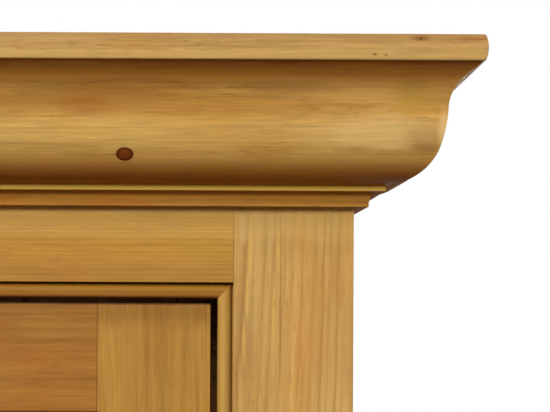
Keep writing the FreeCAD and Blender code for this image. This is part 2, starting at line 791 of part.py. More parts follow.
knob_hole = knob("left_door_knob", "-(light_inner + door_inner) / 2", "door_face_y",
                 "door_knob_level")
hinge_stile_blank = block("hinge_stile_blank", ("-door_outer", "-light_outer"), door_y,
                          ("door_low", "door_top"))
meeting_stile_blank = block("meeting_stile_blank", ("-light_inner", "-door_inner"), door_y,
                            ("door_low", "door_top"))
sub_part("left_door_hinge_stile", cut("left_door_hinge_stile", hinge_stile_blank, [
    head_tenons, foot_tenons, glass_slot, sight_bevel] + row_tenons["hinge"]))
sub_part("left_door_meeting_stile", cut("left_door_meeting_stile", meeting_stile_blank, [
    head_tenons, foot_tenons, glass_slot, sight_bevel, knob_hole] + row_tenons["meeting"]))
for node, rail in (("left_door_top_rail", door_head), ("left_door_bottom_rail", door_foot)):
    sub_part(node, cut(node, rail, [glass_slot, sight_bevel, tall_tenons]))


# Butt hinges in the gap beside each door: the frame's leaf, the door's leaf and a loose pin
frame_leaf_x = ("-opening_outer", "hinge_leaf_thickness - opening_outer")
door_leaf_x = ("-door_outer - hinge_leaf_thickness", "-door_outer")


def hinge_leaf(name, x, low, knuckles):
    pieces = [block(name + "_plate", x, ("face_y", "face_y + hinge_leaf_width"),
                    (low, low + " + hinge_height"))]
    for number in knuckles:
        foot = "%s + hinge_height * %d / %d" % (low, number, knuckle_count)
        tall = "hinge_height / %d" % knuckle_count
        if number > 0:
            foot += " + hinge_clearance / 2"
            tall += " - hinge_clearance / 2"
        if number < knuckle_count - 1:
            tall += " - hinge_clearance / 2"
        pieces.append(block("%s_arm_%d" % (name, number), x, ("pivot_y", "face_y"),
                            (foot, "%s + %s" % (foot, tall))))
        pieces.append(rod("%s_knuckle_%d" % (name, number), "hinge_knuckle_radius", tall,
                          "-pivot_x", "pivot_y", foot))
    bore = rod(name + "_bore", "hinge_pin_radius + hinge_pin_clearance",
               "hinge_height + 2 * overrun", "-pivot_x", "pivot_y", low + " - overrun")
    return cut(name, joined(name + "_whole", pieces), [bore])


def hinge_pin(name, low):
    pieces = [rod(name + "_shank", "hinge_pin_radius", "hinge_height", "-pivot_x", "pivot_y", low)]
    for end, foot, radii in (("low", low + " - hinge_tip_height", ("hinge_pin_radius",
                                                                  "hinge_tip_radius")),
                             ("high", low + " + hinge_height", ("hinge_tip_radius",
                                                                "hinge_pin_radius"))):
        tip = doc.addObject("Part::Cone", "%s_%s_tip" % (name, end))
        bind(tip, Radius1=radii[0], Radius2=radii[1], Height="hinge_tip_height")
        pieces.append(put(tip, "-pivot_x", "pivot_y", foot))
    return joined(name, pieces)


frame_leaves, door_leaves, pins = [], [], []
for number, share in enumerate(hinge_height_shares, start=1):
    low = ("door_low + hinge_inset + %g * (door_top - door_low - 2 * hinge_inset - hinge_height)"
           % share)
    frame_leaves.append(hinge_leaf("frame_leaf_%d" % number, frame_leaf_x, low,
                                   range(0, knuckle_count, 2)))
    door_leaves.append(hinge_leaf("door_leaf_%d" % number, door_leaf_x, low,
                                  range(1, knuckle_count, 2)))
    pins.append(hinge_pin("hinge_pin_%d" % number, low))
sub_part("left_door_hinge_leaves", group("left_door_hinge_leaves", door_leaves))


# Both doors' frame leaves and pins stay with the cabinet
def both_sides(node, items):
    left = group(node + "_left", items)
    right = doc.addObject("Part::Mirroring", node + "_right")
    right.Source = left
    right.Normal = FreeCAD.Vector(1, 0, 0)
    sub_part(node, group(node, [left, right]))


both_sides("hinge_frame_leaves", frame_leaves)
both_sides("hinge_pins", pins)

# Left drawer: sides lapped into the front, the back housed in the sides, the bottom in grooves
drawer_z = ("drawer_front_low", "drawer_box_top")
drawer_bottom_z = ("drawer_front_low + drawer_bottom_rise",
                   "drawer_front_low + drawer_bottom_rise + drawer_bottom_thickness")
drawer_side_y = ("drawer_front_back_y - drawer_lap", "drawer_end_y")
outer_x = ("-drawer_side_outer", "drawer_board - drawer_side_outer")
inner_x = ("-drawer_side_inner - drawer_board", "-drawer_side_inner")
left_blank = block("drawer_left_blank", outer_x, drawer_side_y, drawer_z)
right_blank = block("drawer_right_blank", inner_x, drawer_side_y, drawer_z)
drawer_back = block("drawer_back", (outer_x[1] + " - drawer_housing",
                                    inner_x[0] + " + drawer_housing"),
                    ("drawer_end_y - drawer_board", "drawer_end_y"),
                    (drawer_bottom_z[1], "drawer_box_top"))
drawer_bottom = block("drawer_bottom", (outer_x[1] + " - drawer_groove",
                                        inner_x[0] + " + drawer_groove"),
                      ("drawer_front_back_y - drawer_groove", "drawer_end_y"), drawer_bottom_z)
front_x = ("-drawer_outer", "-drawer_inner")
front_z = ("drawer_front_low", "drawer_front_top")
front_blank = joined("drawer_front_blank", [
    block("drawer_front_board", front_x, ("drawer_face_y + drawer_bevel", "drawer_front_back_y"),
          front_z),
    taper("drawer_front_bevel", ("drawer_face_y", "drawer_face_y + drawer_bevel"),
          ("drawer_bevel - drawer_outer", "-drawer_inner - drawer_bevel"),
          ("drawer_front_low + drawer_bevel", "drawer_front_top - drawer_bevel"),
          front_x, front_z)])
drawer_hole = knob("left_drawer_knob", "-drawer_middle", "drawer_face_y",
                   "(drawer_front_low + drawer_front_top) / 2")
sub_part("left_drawer_front", cut("left_drawer_front", front_blank,
                                  [left_blank, right_blank, drawer_bottom, drawer_hole]))
sub_part("left_drawer_left_side", cut("left_drawer_left_side", left_blank,
                                      [drawer_back, drawer_bottom]))
sub_part("left_drawer_right_side", cut("left_drawer_right_side", right_blank,
                                       [drawer_back, drawer_bottom]))
sub_part("left_drawer_back", drawer_back)
sub_part("left_drawer_bottom", drawer_bottom)

for node in [name for name in subparts if name.startswith(("left_door_", "left_drawer_"))]:
    if swap_sides(node) not in subparts:
        mirrored(node)

doc.recompute()

faults = ["%s is %s" % (item.Name, state) for item in doc.Objects
          for state in item.State if state in ("Invalid", "Error")]
faults += [node + " has no sound shape" for node, item in subparts.items()
           if item.Shape.isNull() or not item.Shape.isValid() or not item.Shape.Solids]
if faults:
    raise RuntimeError("; ".join(faults))

os.makedirs("parts", exist_ok=True)
for node, item in subparts.items():
    item.Shape.exportStep("parts/%s.step" % node)
box = group("whole", list(subparts.values()))
doc.recompute()
bounds = box.Shape.BoundBox
print("%d sub-parts, %.1f x %.1f x %.1f mm, from x %.2f, y %.2f, z %.2f" % (
    len(subparts), bounds.XLength, bounds.YLength, bounds.ZLength,
    bounds.XMin, bounds.YMin, bounds.ZMin))
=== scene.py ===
import json
import math

import bpy
import bmesh
from mathutils import Matrix, Vector

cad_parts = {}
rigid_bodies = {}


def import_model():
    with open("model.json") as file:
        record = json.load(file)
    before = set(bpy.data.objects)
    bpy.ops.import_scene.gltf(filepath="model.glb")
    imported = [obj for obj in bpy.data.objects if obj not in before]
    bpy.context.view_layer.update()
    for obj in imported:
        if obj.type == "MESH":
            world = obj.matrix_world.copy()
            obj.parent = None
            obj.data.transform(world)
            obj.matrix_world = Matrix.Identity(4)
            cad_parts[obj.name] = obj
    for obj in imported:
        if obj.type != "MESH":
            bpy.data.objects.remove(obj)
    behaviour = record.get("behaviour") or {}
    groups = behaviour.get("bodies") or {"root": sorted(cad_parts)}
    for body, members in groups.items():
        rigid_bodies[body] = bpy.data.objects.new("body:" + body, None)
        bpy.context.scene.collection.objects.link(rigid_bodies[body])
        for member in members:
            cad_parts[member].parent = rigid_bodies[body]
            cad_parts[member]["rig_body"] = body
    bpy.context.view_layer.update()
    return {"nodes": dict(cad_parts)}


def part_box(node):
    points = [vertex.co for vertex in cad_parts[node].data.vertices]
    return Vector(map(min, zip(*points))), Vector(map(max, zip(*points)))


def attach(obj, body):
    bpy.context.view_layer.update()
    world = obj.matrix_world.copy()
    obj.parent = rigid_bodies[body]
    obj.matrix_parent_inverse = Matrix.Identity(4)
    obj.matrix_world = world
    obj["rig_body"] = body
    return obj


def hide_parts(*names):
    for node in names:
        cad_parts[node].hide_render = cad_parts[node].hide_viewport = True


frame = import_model()
nodes = frame["nodes"]
print("frame loaded,", len(nodes), "nodes")


def mm(value):
    return value / 1000


def shade(red, green, blue):  # a paint-card colour, 0 to 255, as the shader wants it
    return tuple(((c / 255 + 0.055) / 1.055) ** 2.4 if c > 10 else c / 255 / 12.92
                 for c in (red, green, blue)) + (1,)


def camelName(node):
    first, *rest = node.split("_")
    return first + "".join(word.capitalize() for word in rest)


def objectFrom(name, points, faces):
    mesh = bpy.data.meshes.new(name)
    mesh.from_pydata([tuple(point) for point in points], [], faces)
    mesh.validate()
    piece = bpy.data.objects.new(name, mesh)
    bpy.context.scene.collection.objects.link(piece)
    return piece


# Smooth shading that stays flat on the broad faces and turns only over the softened arrises
def finishShading(piece, sharpAngle=52, flatWeight=90):
    piece.data.shade_smooth()
    piece.data.set_sharp_from_angle(angle=math.radians(sharpAngle))
    weighted = piece.modifiers.new("flatFaces", "WEIGHTED_NORMAL")
    weighted.keep_sharp = True
    weighted.weight = flatWeight
    return piece


def makeSound(piece):
    shell = bmesh.new()
    shell.from_mesh(piece.data)
    bmesh.ops.recalc_face_normals(shell, faces=shell.faces)
    shell.to_mesh(piece.data)
    shell.free()
    return piece


# Quads from ring to ring, with a flat face over the first and the last
def loftPoints(rings):
    count = len(rings[0])
    points = [point for ring in rings for point in ring]
    faces = [(r * count + k, r * count + (k + 1) % count,
              (r + 1) * count + (k + 1) % count, (r + 1) * count + k)
             for r in range(len(rings) - 1) for k in range(count)]
    faces.append(tuple(reversed(range(count))))
    faces.append(tuple((len(rings) - 1) * count + k for k in range(count)))
    return points, faces


def loftPiece(name, groups):  # groups of rings, one group for each solid
    allPoints, allFaces = [], []
    for rings in groups:
        points, faces = loftPoints(rings)
        allFaces += [tuple(len(allPoints) + k for k in face) for face in faces]
        allPoints += points
    return finishShading(makeSound(objectFrom(name, allPoints, allFaces)))


# Points of an arc after its start, turning left (1) or right (-1)
def arcPoints(start, end, radius, turn, steps=14):
    chord = (end[0] - start[0], end[1] - start[1])
    length = math.hypot(*chord)
    rise = math.sqrt(max(radius ** 2 - (length / 2) ** 2, 0)) * turn
    centre = ((start[0] + end[0]) / 2 - chord[1] / length * rise,
              (start[1] + end[1]) / 2 + chord[0] / length * rise)
    first = math.atan2(start[1] - centre[1], start[0] - centre[0])
    last = math.atan2(end[1] - centre[1], end[0] - centre[0])
    sweep = (last - first) * turn % (2 * math.pi) * turn
    return [(centre[0] + radius * math.cos(first + sweep * k / steps),
             centre[1] + radius * math.sin(first + sweep * k / steps))
            for k in range(1, steps + 1)]


# An outline in millimetres: each point is (out, up), or (out, up, radius, turn) at the end of an
# arc, with a number of steps after it where fourteen don't suit
def outlinePoints(profile):
    raw = []
    for k, point in enumerate(profile):
        if len(point) > 2:
            raw += arcPoints(profile[k - 1][:2], point[:2], *point[2:])
        else:
            raw.append(point)
    return raw


# A closed outline whose corners are rounded over where they turn by more than the limit; a
# corner takes at most a share of the edges beside it
def sectionPoints(profile, rounding=0.6, limit=24, share=0.45, least=0.02):
    raw = outlinePoints(profile)
    soft = []
    for k, here in enumerate(raw):
        before, after = Vector(raw[k - 1]), Vector(raw[(k + 1) % len(raw)])
        here = Vector(here)
        into, out = here - before, after - here
        turn = math.degrees(into.angle(out, 0))
        reach = min(rounding, into.length * share, out.length * share)
        if turn < limit or reach < least:
            soft.append(tuple(here))
            continue
        start, end = here - into.normalized() * reach, here + out.normalized() * reach
        for t in (0, 0.25, 0.5, 0.75, 1):
            soft.append(tuple(start * (1 - t) ** 2 + here * 2 * t * (1 - t) + end * t ** 2))
    return soft


# A copy of a CAD node with its arrises softened: triangles that lie flat are joined first, and
# edges that turn by more than sharpFrom degrees are rounded
def softened(node, rounding, sharpFrom=24, flatWithin=0.6, weldWithin=0.000003, segments=2):
    shell = bmesh.new()
    shell.from_mesh(nodes[node].data)
    bmesh.ops.remove_doubles(shell, verts=shell.verts, dist=weldWithin)
    bmesh.ops.dissolve_limit(shell, angle_limit=math.radians(flatWithin), verts=shell.verts,
                             edges=shell.edges)
    arrises = [edge for edge in shell.edges if len(edge.link_faces) == 2 and edge.is_convex
               and edge.calc_face_angle(0) > math.radians(sharpFrom)]
    bmesh.ops.bevel(shell, geom=arrises, offset=mm(rounding), offset_type="OFFSET",
                    segments=segments, profile=0.5, affect="EDGES", clamp_overlap=True)
    mesh = bpy.data.meshes.new(camelName(node))
    shell.to_mesh(mesh)
    shell.free()
    piece = bpy.data.objects.new(camelName(node), mesh)
    bpy.context.scene.collection.objects.link(piece)
    return finishShading(piece)


def bodyOf(node):
    return nodes[node]["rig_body"]


def standFor(piece, node):
    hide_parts(node)
    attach(piece, bodyOf(node))
    return piece


# The cabinet's main places, read from the frame
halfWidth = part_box("right_stile")[1].x
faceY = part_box("right_stile")[0].y
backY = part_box("right_side")[1].y
print("places read")


# One node: values go to its sockets by name or number, and another node's output is linked
def addNode(tree, kind, values=None, **settings):
    node = tree.nodes.new(kind)
    for key, value in settings.items():
        setattr(node, key, value)
    for socket, value in (values or {}).items():
        target = node.inputs[socket]
        if isinstance(value, bpy.types.NodeSocket):
            tree.links.new(value, target)
        else:
            target.default_value = value
    return node


def sums(tree, operation, first, second=0.0, third=0.0, clamp=False):
    node = addNode(tree, "ShaderNodeMath", {0: first, 1: second, 2: third},
                   operation=operation, use_clamp=clamp)
    return node.outputs[0]


def vectorSums(tree, operation, first, second=(0, 0, 0), out=0):
    values = {0: first}
    if operation == "SCALE":
        values["Scale"] = second
    else:
        values[1] = second
    return addNode(tree, "ShaderNodeVectorMath", values, operation=operation).outputs[out]


def noiseOf(tree, vector, scale, detail=2.0, roughness=0.5, out="Fac"):
    return addNode(tree, "ShaderNodeTexNoise", {
        "Vector": vector, "Scale": scale, "Detail": detail, "Roughness": roughness}).outputs[out]


def greyRamp(tree, value, stops):
    node = addNode(tree, "ShaderNodeValToRGB", {"Fac": value})
    elements = node.color_ramp.elements
    node.color_ramp.interpolation = "EASE"
    while len(elements) < len(stops):
        elements.new(0.5)
    for element, (position, grey) in zip(elements, stops):
        element.position = position
        element.color = (grey, grey, grey, 1)
    return node.outputs[0]


def fade(tree, value, low, high, outLow=0.0, outHigh=1.0):
    node = addNode(tree, "ShaderNodeMapRange", {
        "Value": value, "From Min": low, "From Max": high, "To Min": outLow, "To Max": outHigh},
        interpolation_type="SMOOTHSTEP")
    return node.outputs["Result"]


def mixColour(tree, amount, first, second, blend="MIX"):
    return addNode(tree, "ShaderNodeMix", {0: amount, 6: first, 7: second},
                   data_type="RGBA", blend_type=blend).outputs[2]


def newMaterial(name):
    material = bpy.data.materials.new(name)
    material.use_nodes = True
    material.node_tree.nodes.clear()
    return material, material.node_tree


# Knots run through a board's depth, or upwards through a board that lies flat
throughDepth = {"Knot cells": (2.6, 1.2, 9.0), "Knot plane": (0.76, 0.0, 1.0)}
throughThird = {"Knot cells": (2.6, 9.0, 1.2), "Knot plane": (0.76, 1.0, 0.0)}

# Pine, as a log sees it: X runs along the grain, and the pith runs through the origin
pineNumbers = {
    "Ring pitch": 0.0045, "Ring strength": 0.3, "Ring wave": 0.004, "Fibre": 0.5,
    "Flecks": 0.3, "Mottle": 0.5, "Knot share": 0.12, "Knot size": 0.006,
    "Own knot size": 0.0, "Pale": 0.0, "Dirt": 1.0,
}
pineVectors = {"Place": (0, 0, 0), "Own knot": (0, 0, 0), **throughDepth}
pineColours = {
    "Early wood": shade(205, 161, 92), "Late wood": shade(160, 108, 44),
    "Warm tint": shade(186, 124, 52),
}
pineMarks = {
    "fleck": shade(112, 62, 24), "halo": shade(150, 92, 38), "heart": shade(140, 76, 30),
    "heartRing": shade(120, 62, 22), "heartRim": shade(74, 30, 6), "dirt": shade(38, 16, 5),
    "paleBoard": shade(226, 192, 136), "glueLine": shade(104, 62, 24),
    "underside": shade(204, 166, 130),
}
ringShade = [(0.0, 0.42), (0.16, 0.08), (0.45, 0.12), (0.78, 0.62), (0.9, 0.95), (1.0, 0.42)]
ringPlay = {"uneven": 0.37, "unevenShare": 1.6, "weakest": 0.4, "spread": 0.6}
knotLook = {"scatter": 0.8, "smallest": 0.4, "sizeSpread": 1.2, "fallOff": -0.18,
            "push": (0.0, 0.7, 0.7), "rings": 9.0, "ringWander": 3.0, "rim": (0.72, 0.94),
            "edge": (1.05, 0.95), "halo": (1.6, 0.95, 0.0, 0.35)}
# Painted shade and dirt in crevices: the reach of the occlusion, and how far it darkens
crevices = {"reach": 0.009, "dirt": (0.72, 0.2, 0.0, 0.93)}
relief = {"ring": 0.4, "fibre": 0.6, "fleck": 0.4, "depth": 0.0004}
waxGloss = {"base": 0.36, "fibre": 0.14, "mottle": -0.06, "dirt": 0.25, "coat": 0.35,
            "index": 1.5}

# Noises in the wood: scale along, across and through it, detail and roughness
woodNoises = {
    "wave": ((2.1, 8, 8), 2.0, 0.5), "fibre": ((32, 560, 560), 3.0, 0.65),
    "line": ((7, 240, 240), 2.0, 0.6), "streak": ((2.0, 62, 62), 3.0, 0.55),
    "band": ((1.3, 24, 24), 1.0, 0.5), "fleck": ((95, 1050, 1050), 1.0, 0.4),
    "rareFleck": ((14, 40, 40), 1.0, 0.5), "mottle": ((7, 17, 17), 3.0, 0.55),
    "heart": ((500, 500, 500), 1.0, 0.5), "raggedStain": ((26, 60, 150), 3.0, 0.6),
}


def woodNoise(tree, name, spot, out="Fac"):
    scale, detail, roughness = woodNoises[name]
    return noiseOf(tree, vectorSums(tree, "MULTIPLY", spot, scale), 1.0, detail, roughness, out)


def makePineGroup():
    tree = bpy.data.node_groups.new("pineGrain", "ShaderNodeTree")
    slots = tree.interface
    for kind, values in (("Vector", pineVectors), ("Float", pineNumbers), ("Color", pineColours)):
        for name, value in values.items():
            slots.new_socket(name, in_out="INPUT",
                             socket_type="NodeSocket" + kind).default_value = value
    for name, kind in (("Colour", "Color"), ("Roughness", "Float"), ("Height", "Float"),
                       ("Own heart", "Float")):
        slots.new_socket(name, in_out="OUTPUT", socket_type="NodeSocket" + kind)
    given = tree.nodes.new("NodeGroupInput").outputs
    place, plane = given["Place"], given["Knot plane"]

    # Scattered knots: one branch for each cell, running through the board
    cells = vectorSums(tree, "MULTIPLY", place, given["Knot cells"])
    voronoi = addNode(tree, "ShaderNodeTexVoronoi", {"Vector": cells, "Scale": 1.0,
                                                     "Randomness": knotLook["scatter"]})
    fromKnot = vectorSums(tree, "DIVIDE", vectorSums(
        tree, "SUBTRACT", cells, voronoi.outputs["Position"]), given["Knot cells"])
    lot = addNode(tree, "ShaderNodeSeparateColor", {0: voronoi.outputs["Color"]})
    chosen = sums(tree, "LESS_THAN", lot.outputs[0], given["Knot share"])
    size = sums(tree, "MULTIPLY", given["Knot size"], sums(
        tree, "MULTIPLY_ADD", lot.outputs[1], knotLook["sizeSpread"], knotLook["smallest"]))
    scattered = knotField(tree, fromKnot, plane, sums(tree, "MULTIPLY", size, chosen))
    own = knotField(tree, vectorSums(tree, "SUBTRACT", place, given["Own knot"]), plane,
                    given["Own knot size"])

    # The log's rings, bent round the knots and waved
    wave = vectorSums(tree, "SUBTRACT", woodNoise(tree, "wave", place, "Color"),
                      (0.5, 0.5, 0.5))
    bent = vectorSums(tree, "ADD", place, vectorSums(tree, "SCALE", wave, given["Ring wave"]))
    for knot in (scattered, own):
        bent = vectorSums(tree, "SUBTRACT", bent, knot["push"])
    split = addNode(tree, "ShaderNodeSeparateXYZ", {0: bent})
    radius = sums(tree, "SQRT", sums(
        tree, "ADD", sums(tree, "MULTIPLY", split.outputs[1], split.outputs[1]),
        sums(tree, "MULTIPLY", split.outputs[2], split.outputs[2])))
    turns = sums(tree, "DIVIDE", radius, given["Ring pitch"])
    uneven = addNode(tree, "ShaderNodeTexNoise", {
        "W": turns, "Scale": ringPlay["uneven"], "Detail": 1.0},
        noise_dimensions="1D").outputs["Fac"]
    turns = sums(tree, "MULTIPLY_ADD", uneven, ringPlay["unevenShare"], turns)
    strength = addNode(tree, "ShaderNodeTexWhiteNoise", {"W": sums(tree, "FLOOR", turns)},
                       noise_dimensions="1D").outputs["Value"]
    late = greyRamp(tree, sums(tree, "FRACT", turns), ringShade)
    late = sums(tree, "MULTIPLY", late, sums(
        tree, "MULTIPLY_ADD", strength, ringPlay["spread"], ringPlay["weakest"]))
    ring = sums(tree, "MULTIPLY", late, given["Ring strength"], clamp=True)

    # Fibres, streaks, short flecks and cloudy mottle
    fibre, line, streak, band, fleck, rare = (woodNoise(tree, name, place) for name in (
        "fibre", "line", "streak", "band", "fleck", "rareFleck"))
    fleck = sums(tree, "MULTIPLY", fade(tree, fleck, 0.6, 0.76), fade(tree, rare, 0.36, 0.64))
    mottle = woodNoise(tree, "mottle", place)

    base = mixColour(tree, ring, given["Early wood"], given["Late wood"])
    tint = sums(tree, "MULTIPLY", fade(tree, mottle, 0.38, 0.72), given["Mottle"], clamp=True)
    base = mixColour(tree, sums(tree, "MULTIPLY", tint, 0.75), base, given["Warm tint"])
    value = 1.0
    for wander, much, share in ((fibre, "Fibre", 0.55), (line, "Fibre", 0.34),
                                (streak, "Mottle", 0.5), (band, "Mottle", 0.45)):
        value = sums(tree, "MULTIPLY_ADD", sums(tree, "SUBTRACT", wander, 0.5),
                     sums(tree, "MULTIPLY", given[much], share), value)
    base = vectorSums(tree, "SCALE", base, value)
    base = mixColour(tree, sums(tree, "MULTIPLY", fleck, given["Flecks"], clamp=True), base,
                     pineMarks["fleck"])
    for knot in (scattered, own):
        base = mixColour(tree, knot["halo"], base, pineMarks["halo"])
        base = mixColour(tree, knot["heart"], base, knot["colour"])
    base = mixColour(tree, given["Pale"], base, pineMarks["paleBoard"])
    # Painted shade and dirt: ambient occlusion darkens crevices, joints and the gaps round the
    # doors
    crevice = addNode(tree, "ShaderNodeAmbientOcclusion", {"Distance": crevices["reach"]},
                      samples=6).outputs["AO"]
    dirt = sums(tree, "MULTIPLY", fade(tree, crevice, *crevices["dirt"]), given["Dirt"])
    base = mixColour(tree, dirt, base, pineMarks["dirt"])

    height = sums(tree, "MULTIPLY_ADD", ring, relief["ring"],
                  sums(tree, "MULTIPLY", fibre, relief["fibre"]))
    height = sums(tree, "SUBTRACT", height, sums(tree, "MULTIPLY", fleck, relief["fleck"]))
    rough = waxGloss["base"]
    for mark, much in ((fibre, "fibre"), (tint, "mottle"), (dirt, "dirt")):
        rough = sums(tree, "MULTIPLY_ADD", mark, waxGloss[much], rough)
    addNode(tree, "NodeGroupOutput", {"Colour": base, "Roughness": rough, "Height": height,
                                      "Own heart": own["heart"]})
    return tree


# How far a point is into a knot, and how the grain is pushed aside there
def knotField(tree, offset, plane, size):
    flat = vectorSums(tree, "MULTIPLY", offset, plane)
    away = vectorSums(tree, "LENGTH", flat, out=1)
    size = sums(tree, "MAXIMUM", size, 0.00001)
    share = sums(tree, "DIVIDE", away, size)
    near = sums(tree, "EXPONENT", sums(tree, "MULTIPLY", sums(
        tree, "MULTIPLY", share, share), knotLook["fallOff"]))
    push = vectorSums(tree, "SCALE", vectorSums(
        tree, "MULTIPLY", flat, knotLook["push"]), near)
    wander = woodNoise(tree, "heart", offset)
    rings = sums(tree, "SINE", sums(
        tree, "MULTIPLY_ADD", wander, knotLook["ringWander"],
        sums(tree, "MULTIPLY", share, knotLook["rings"])))
    colour = mixColour(tree, fade(tree, rings, -1.0, 1.0), pineMarks["heart"],
                       pineMarks["heartRing"])
    colour = mixColour(tree, fade(tree, share, *knotLook["rim"]), colour,
                       pineMarks["heartRim"])
    return {"push": push, "heart": fade(tree, share, *knotLook["edge"]), "colour": colour,
            "halo": fade(tree, share, *knotLook["halo"])}


pineGroup = makePineGroup()

# How boards of one pine differ: how far apart they lie in the log, and how pale the palest is
boardVariety = {"stripShift": (0.9, 0.11, 0.11), "stripPale": 0.22, "islandSeed": 97.0,
                "islandPale": 0.24, "glueLine": (0.0006, 0.0001, 0.0, 0.35)}

# The turns that lay a piece along its log: first the grain's axis, then the grain's slope
turnsFor = {"x": (0, 0, 0), "y": (0, 0, -math.pi / 2), "z": (0, math.pi / 2, 0)}


def grainTurns(grain, tilt):
    return turnsFor[grain], (0, math.radians(tilt[0]), math.radians(tilt[1]))


# Edge-glued boards: each strip along an axis gets its own place in a log, and a thin glue line
def gluedStrips(tree, spot, axis, width):
    along = addNode(tree, "ShaderNodeSeparateXYZ", {0: spot}).outputs["xyz".index(axis)]
    count = sums(tree, "DIVIDE", along, width)
    lot = addNode(tree, "ShaderNodeTexWhiteNoise", {"W": sums(tree, "FLOOR", count)},
                  noise_dimensions="1D")
    shift = vectorSums(tree, "MULTIPLY", vectorSums(
        tree, "SUBTRACT", lot.outputs["Color"], (0.5, 0.5, 0.5)), boardVariety["stripShift"])
    part = sums(tree, "FRACT", count)
    edge = sums(tree, "MINIMUM", part, sums(tree, "SUBTRACT", 1.0, part))
    line = fade(tree, sums(tree, "MULTIPLY", edge, width), *boardVariety["glueLine"])
    return shift, lot.outputs["Value"], line


# The edge of a stain or patch of painted light: how ragged it is and where it fades, as shares of
# its reach
stainEdge = {"ragged": 0.7, "outer": 1.0, "inner": 0.25}


# Stains, blemishes and patches of painted light and shade: (centre, reach along each axis,
# colour, amount) in the cabinet's frame
def addStainsAndPaintedLight(tree, base, spot, stains):
    ragged = woodNoise(tree, "raggedStain", spot)
    for centre, reach, colour, amount in stains:
        away = vectorSums(tree, "LENGTH", vectorSums(
            tree, "DIVIDE", vectorSums(tree, "SUBTRACT", spot, centre), reach), out=1)
        away = sums(tree, "MULTIPLY_ADD", sums(tree, "SUBTRACT", ragged, 0.5),
                    stainEdge["ragged"], away)
        base = mixColour(tree, fade(tree, away, stainEdge["outer"], stainEdge["inner"], 0.0,
                                    amount), base, colour)
    return base


# Painted shade: the downward-facing undersides of a moulding are darkened and warmed, as if out
# of the light
undersideShadeFacing = {"from": -0.25, "to": -0.9}


# Pine for one piece: the grain runs along an axis, and pith is the place of the log's centre
def pineMaterial(name, colours, grain, pith, tilt, shine=0.12, coat=0.02, bump=0.2,
                 perBoard=0.0, strips=None, ownKnot=None, knots=throughDepth, stains=(),
                 hollow=0.0, **numbers):
    material, tree = newMaterial(name)
    spot = addNode(tree, "ShaderNodeTexCoord").outputs["Object"]
    place = vectorSums(tree, "SUBTRACT", spot, pith)
    if perBoard:
        island = addNode(tree, "ShaderNodeNewGeometry").outputs["Random Per Island"]
        shift = addNode(tree, "ShaderNodeTexWhiteNoise", {
            "W": sums(tree, "MULTIPLY", island, boardVariety["islandSeed"])},
            noise_dimensions="1D")
        place = vectorSums(tree, "ADD", place, vectorSums(
            tree, "MULTIPLY", shift.outputs["Color"], (perBoard, perBoard, perBoard)))
    for angles in grainTurns(grain, tilt):
        place = addNode(tree, "ShaderNodeVectorRotate", {
            "Vector": place, "Rotation": angles}, rotation_type="EULER_XYZ").outputs[0]
    if strips:
        shift, paleness, line = gluedStrips(tree, spot, *strips)
        place = vectorSums(tree, "ADD", place, shift)
    values = {"Place": place, **knots, **colours}
    if perBoard:
        values["Pale"] = sums(tree, "MULTIPLY", island, boardVariety["islandPale"])
    if strips:
        values["Pale"] = sums(tree, "MULTIPLY", paleness, boardVariety["stripPale"])
    if ownKnot:
        values["Own knot"] = knotPlace(ownKnot[0], pith, grain, tilt)
        values["Own knot size"] = ownKnot[1]
    values.update({socketName(key): value for key, value in numbers.items()})
    wood = addNode(tree, "ShaderNodeGroup", values, node_tree=pineGroup)
    colour = wood.outputs["Colour"]
    if stains:
        colour = mixColour(tree, wood.outputs["Own heart"],
                           addStainsAndPaintedLight(tree, colour, spot, stains), colour)
    if strips:
        colour = mixColour(tree, line, colour, pineMarks["glueLine"])
    # Painted shade on the undersides of mouldings
    if hollow:
        facing = addNode(tree, "ShaderNodeSeparateXYZ", {
            0: addNode(tree, "ShaderNodeNewGeometry").outputs["Normal"]}).outputs[2]
        paintedUndersideShade = fade(tree, facing, undersideShadeFacing["from"], undersideShadeFacing["to"], 0.0, hollow)
        colour = mixColour(tree, paintedUndersideShade, colour, pineMarks["underside"], "MULTIPLY")
    lift = addNode(tree, "ShaderNodeBump", {
        "Strength": bump, "Distance": relief["depth"], "Height": wood.outputs["Height"]})
    skin = addNode(tree, "ShaderNodeBsdfPrincipled", {
        "Base Color": colour, "Roughness": wood.outputs["Roughness"],
        "Normal": lift.outputs[0], "IOR": waxGloss["index"], "Specular IOR Level": shine,
        "Coat Weight": coat, "Coat Roughness": waxGloss["coat"]})
    addNode(tree, "ShaderNodeOutputMaterial", {"Surface": skin.outputs[0]})
    return material


def socketName(key):  # ringPitch sets the socket called Ring pitch
    return "".join(" " + letter.lower() if letter.isupper() else letter
                   for letter in key).capitalize()


# Where a point of the cabinet lies in the log
def knotPlace(point, pith, grain, tilt):
    turned = Vector(point) - Vector(pith)
    for x, y, z in grainTurns(grain, tilt):
        turned = (Matrix.Rotation(z, 3, "Z") @ Matrix.Rotation(y, 3, "Y")
                  @ Matrix.Rotation(x, 3, "X")) @ turned
    return tuple(turned)


def dress(piece, material):
    piece.data.materials.clear()
    piece.data.materials.append(material)
    return piece


# Cornice: each point of an outline is (out from the face, up) in millimetres
crown = {
    "profile": [(0, 0), (22.6, 0), (22.6, 4.9), (59.6, 28.9, 41.5, 1), (66.1, 57.7, 89, 1),
                (78.2, 82.9, 32.6, -1), (89.4, 91.9), (61, 91.9), (0, 30)],
    "rounding": 0.5,
    "frontSteps": 120,
    "returnSteps": 30,
}
bedMould = {
    "profile": [(0, 0), (10.7, 0), (15, 11.3, 14, -1), (0, 11.3)],
    "rounding": 0.4,
    "frontSteps": 60,
    "returnSteps": 15,
}


def mouldingFront(node, moulding):
    section = sectionPoints(moulding["profile"], moulding["rounding"])
    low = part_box(node)[0].z
    steps = moulding["frontSteps"]
    return standFor(loftPiece(camelName(node), [[
        [((2 * k / steps - 1) * (halfWidth + mm(out)), faceY - mm(out), low + mm(up))
         for out, up in section] for k in range(steps + 1)]]), node)


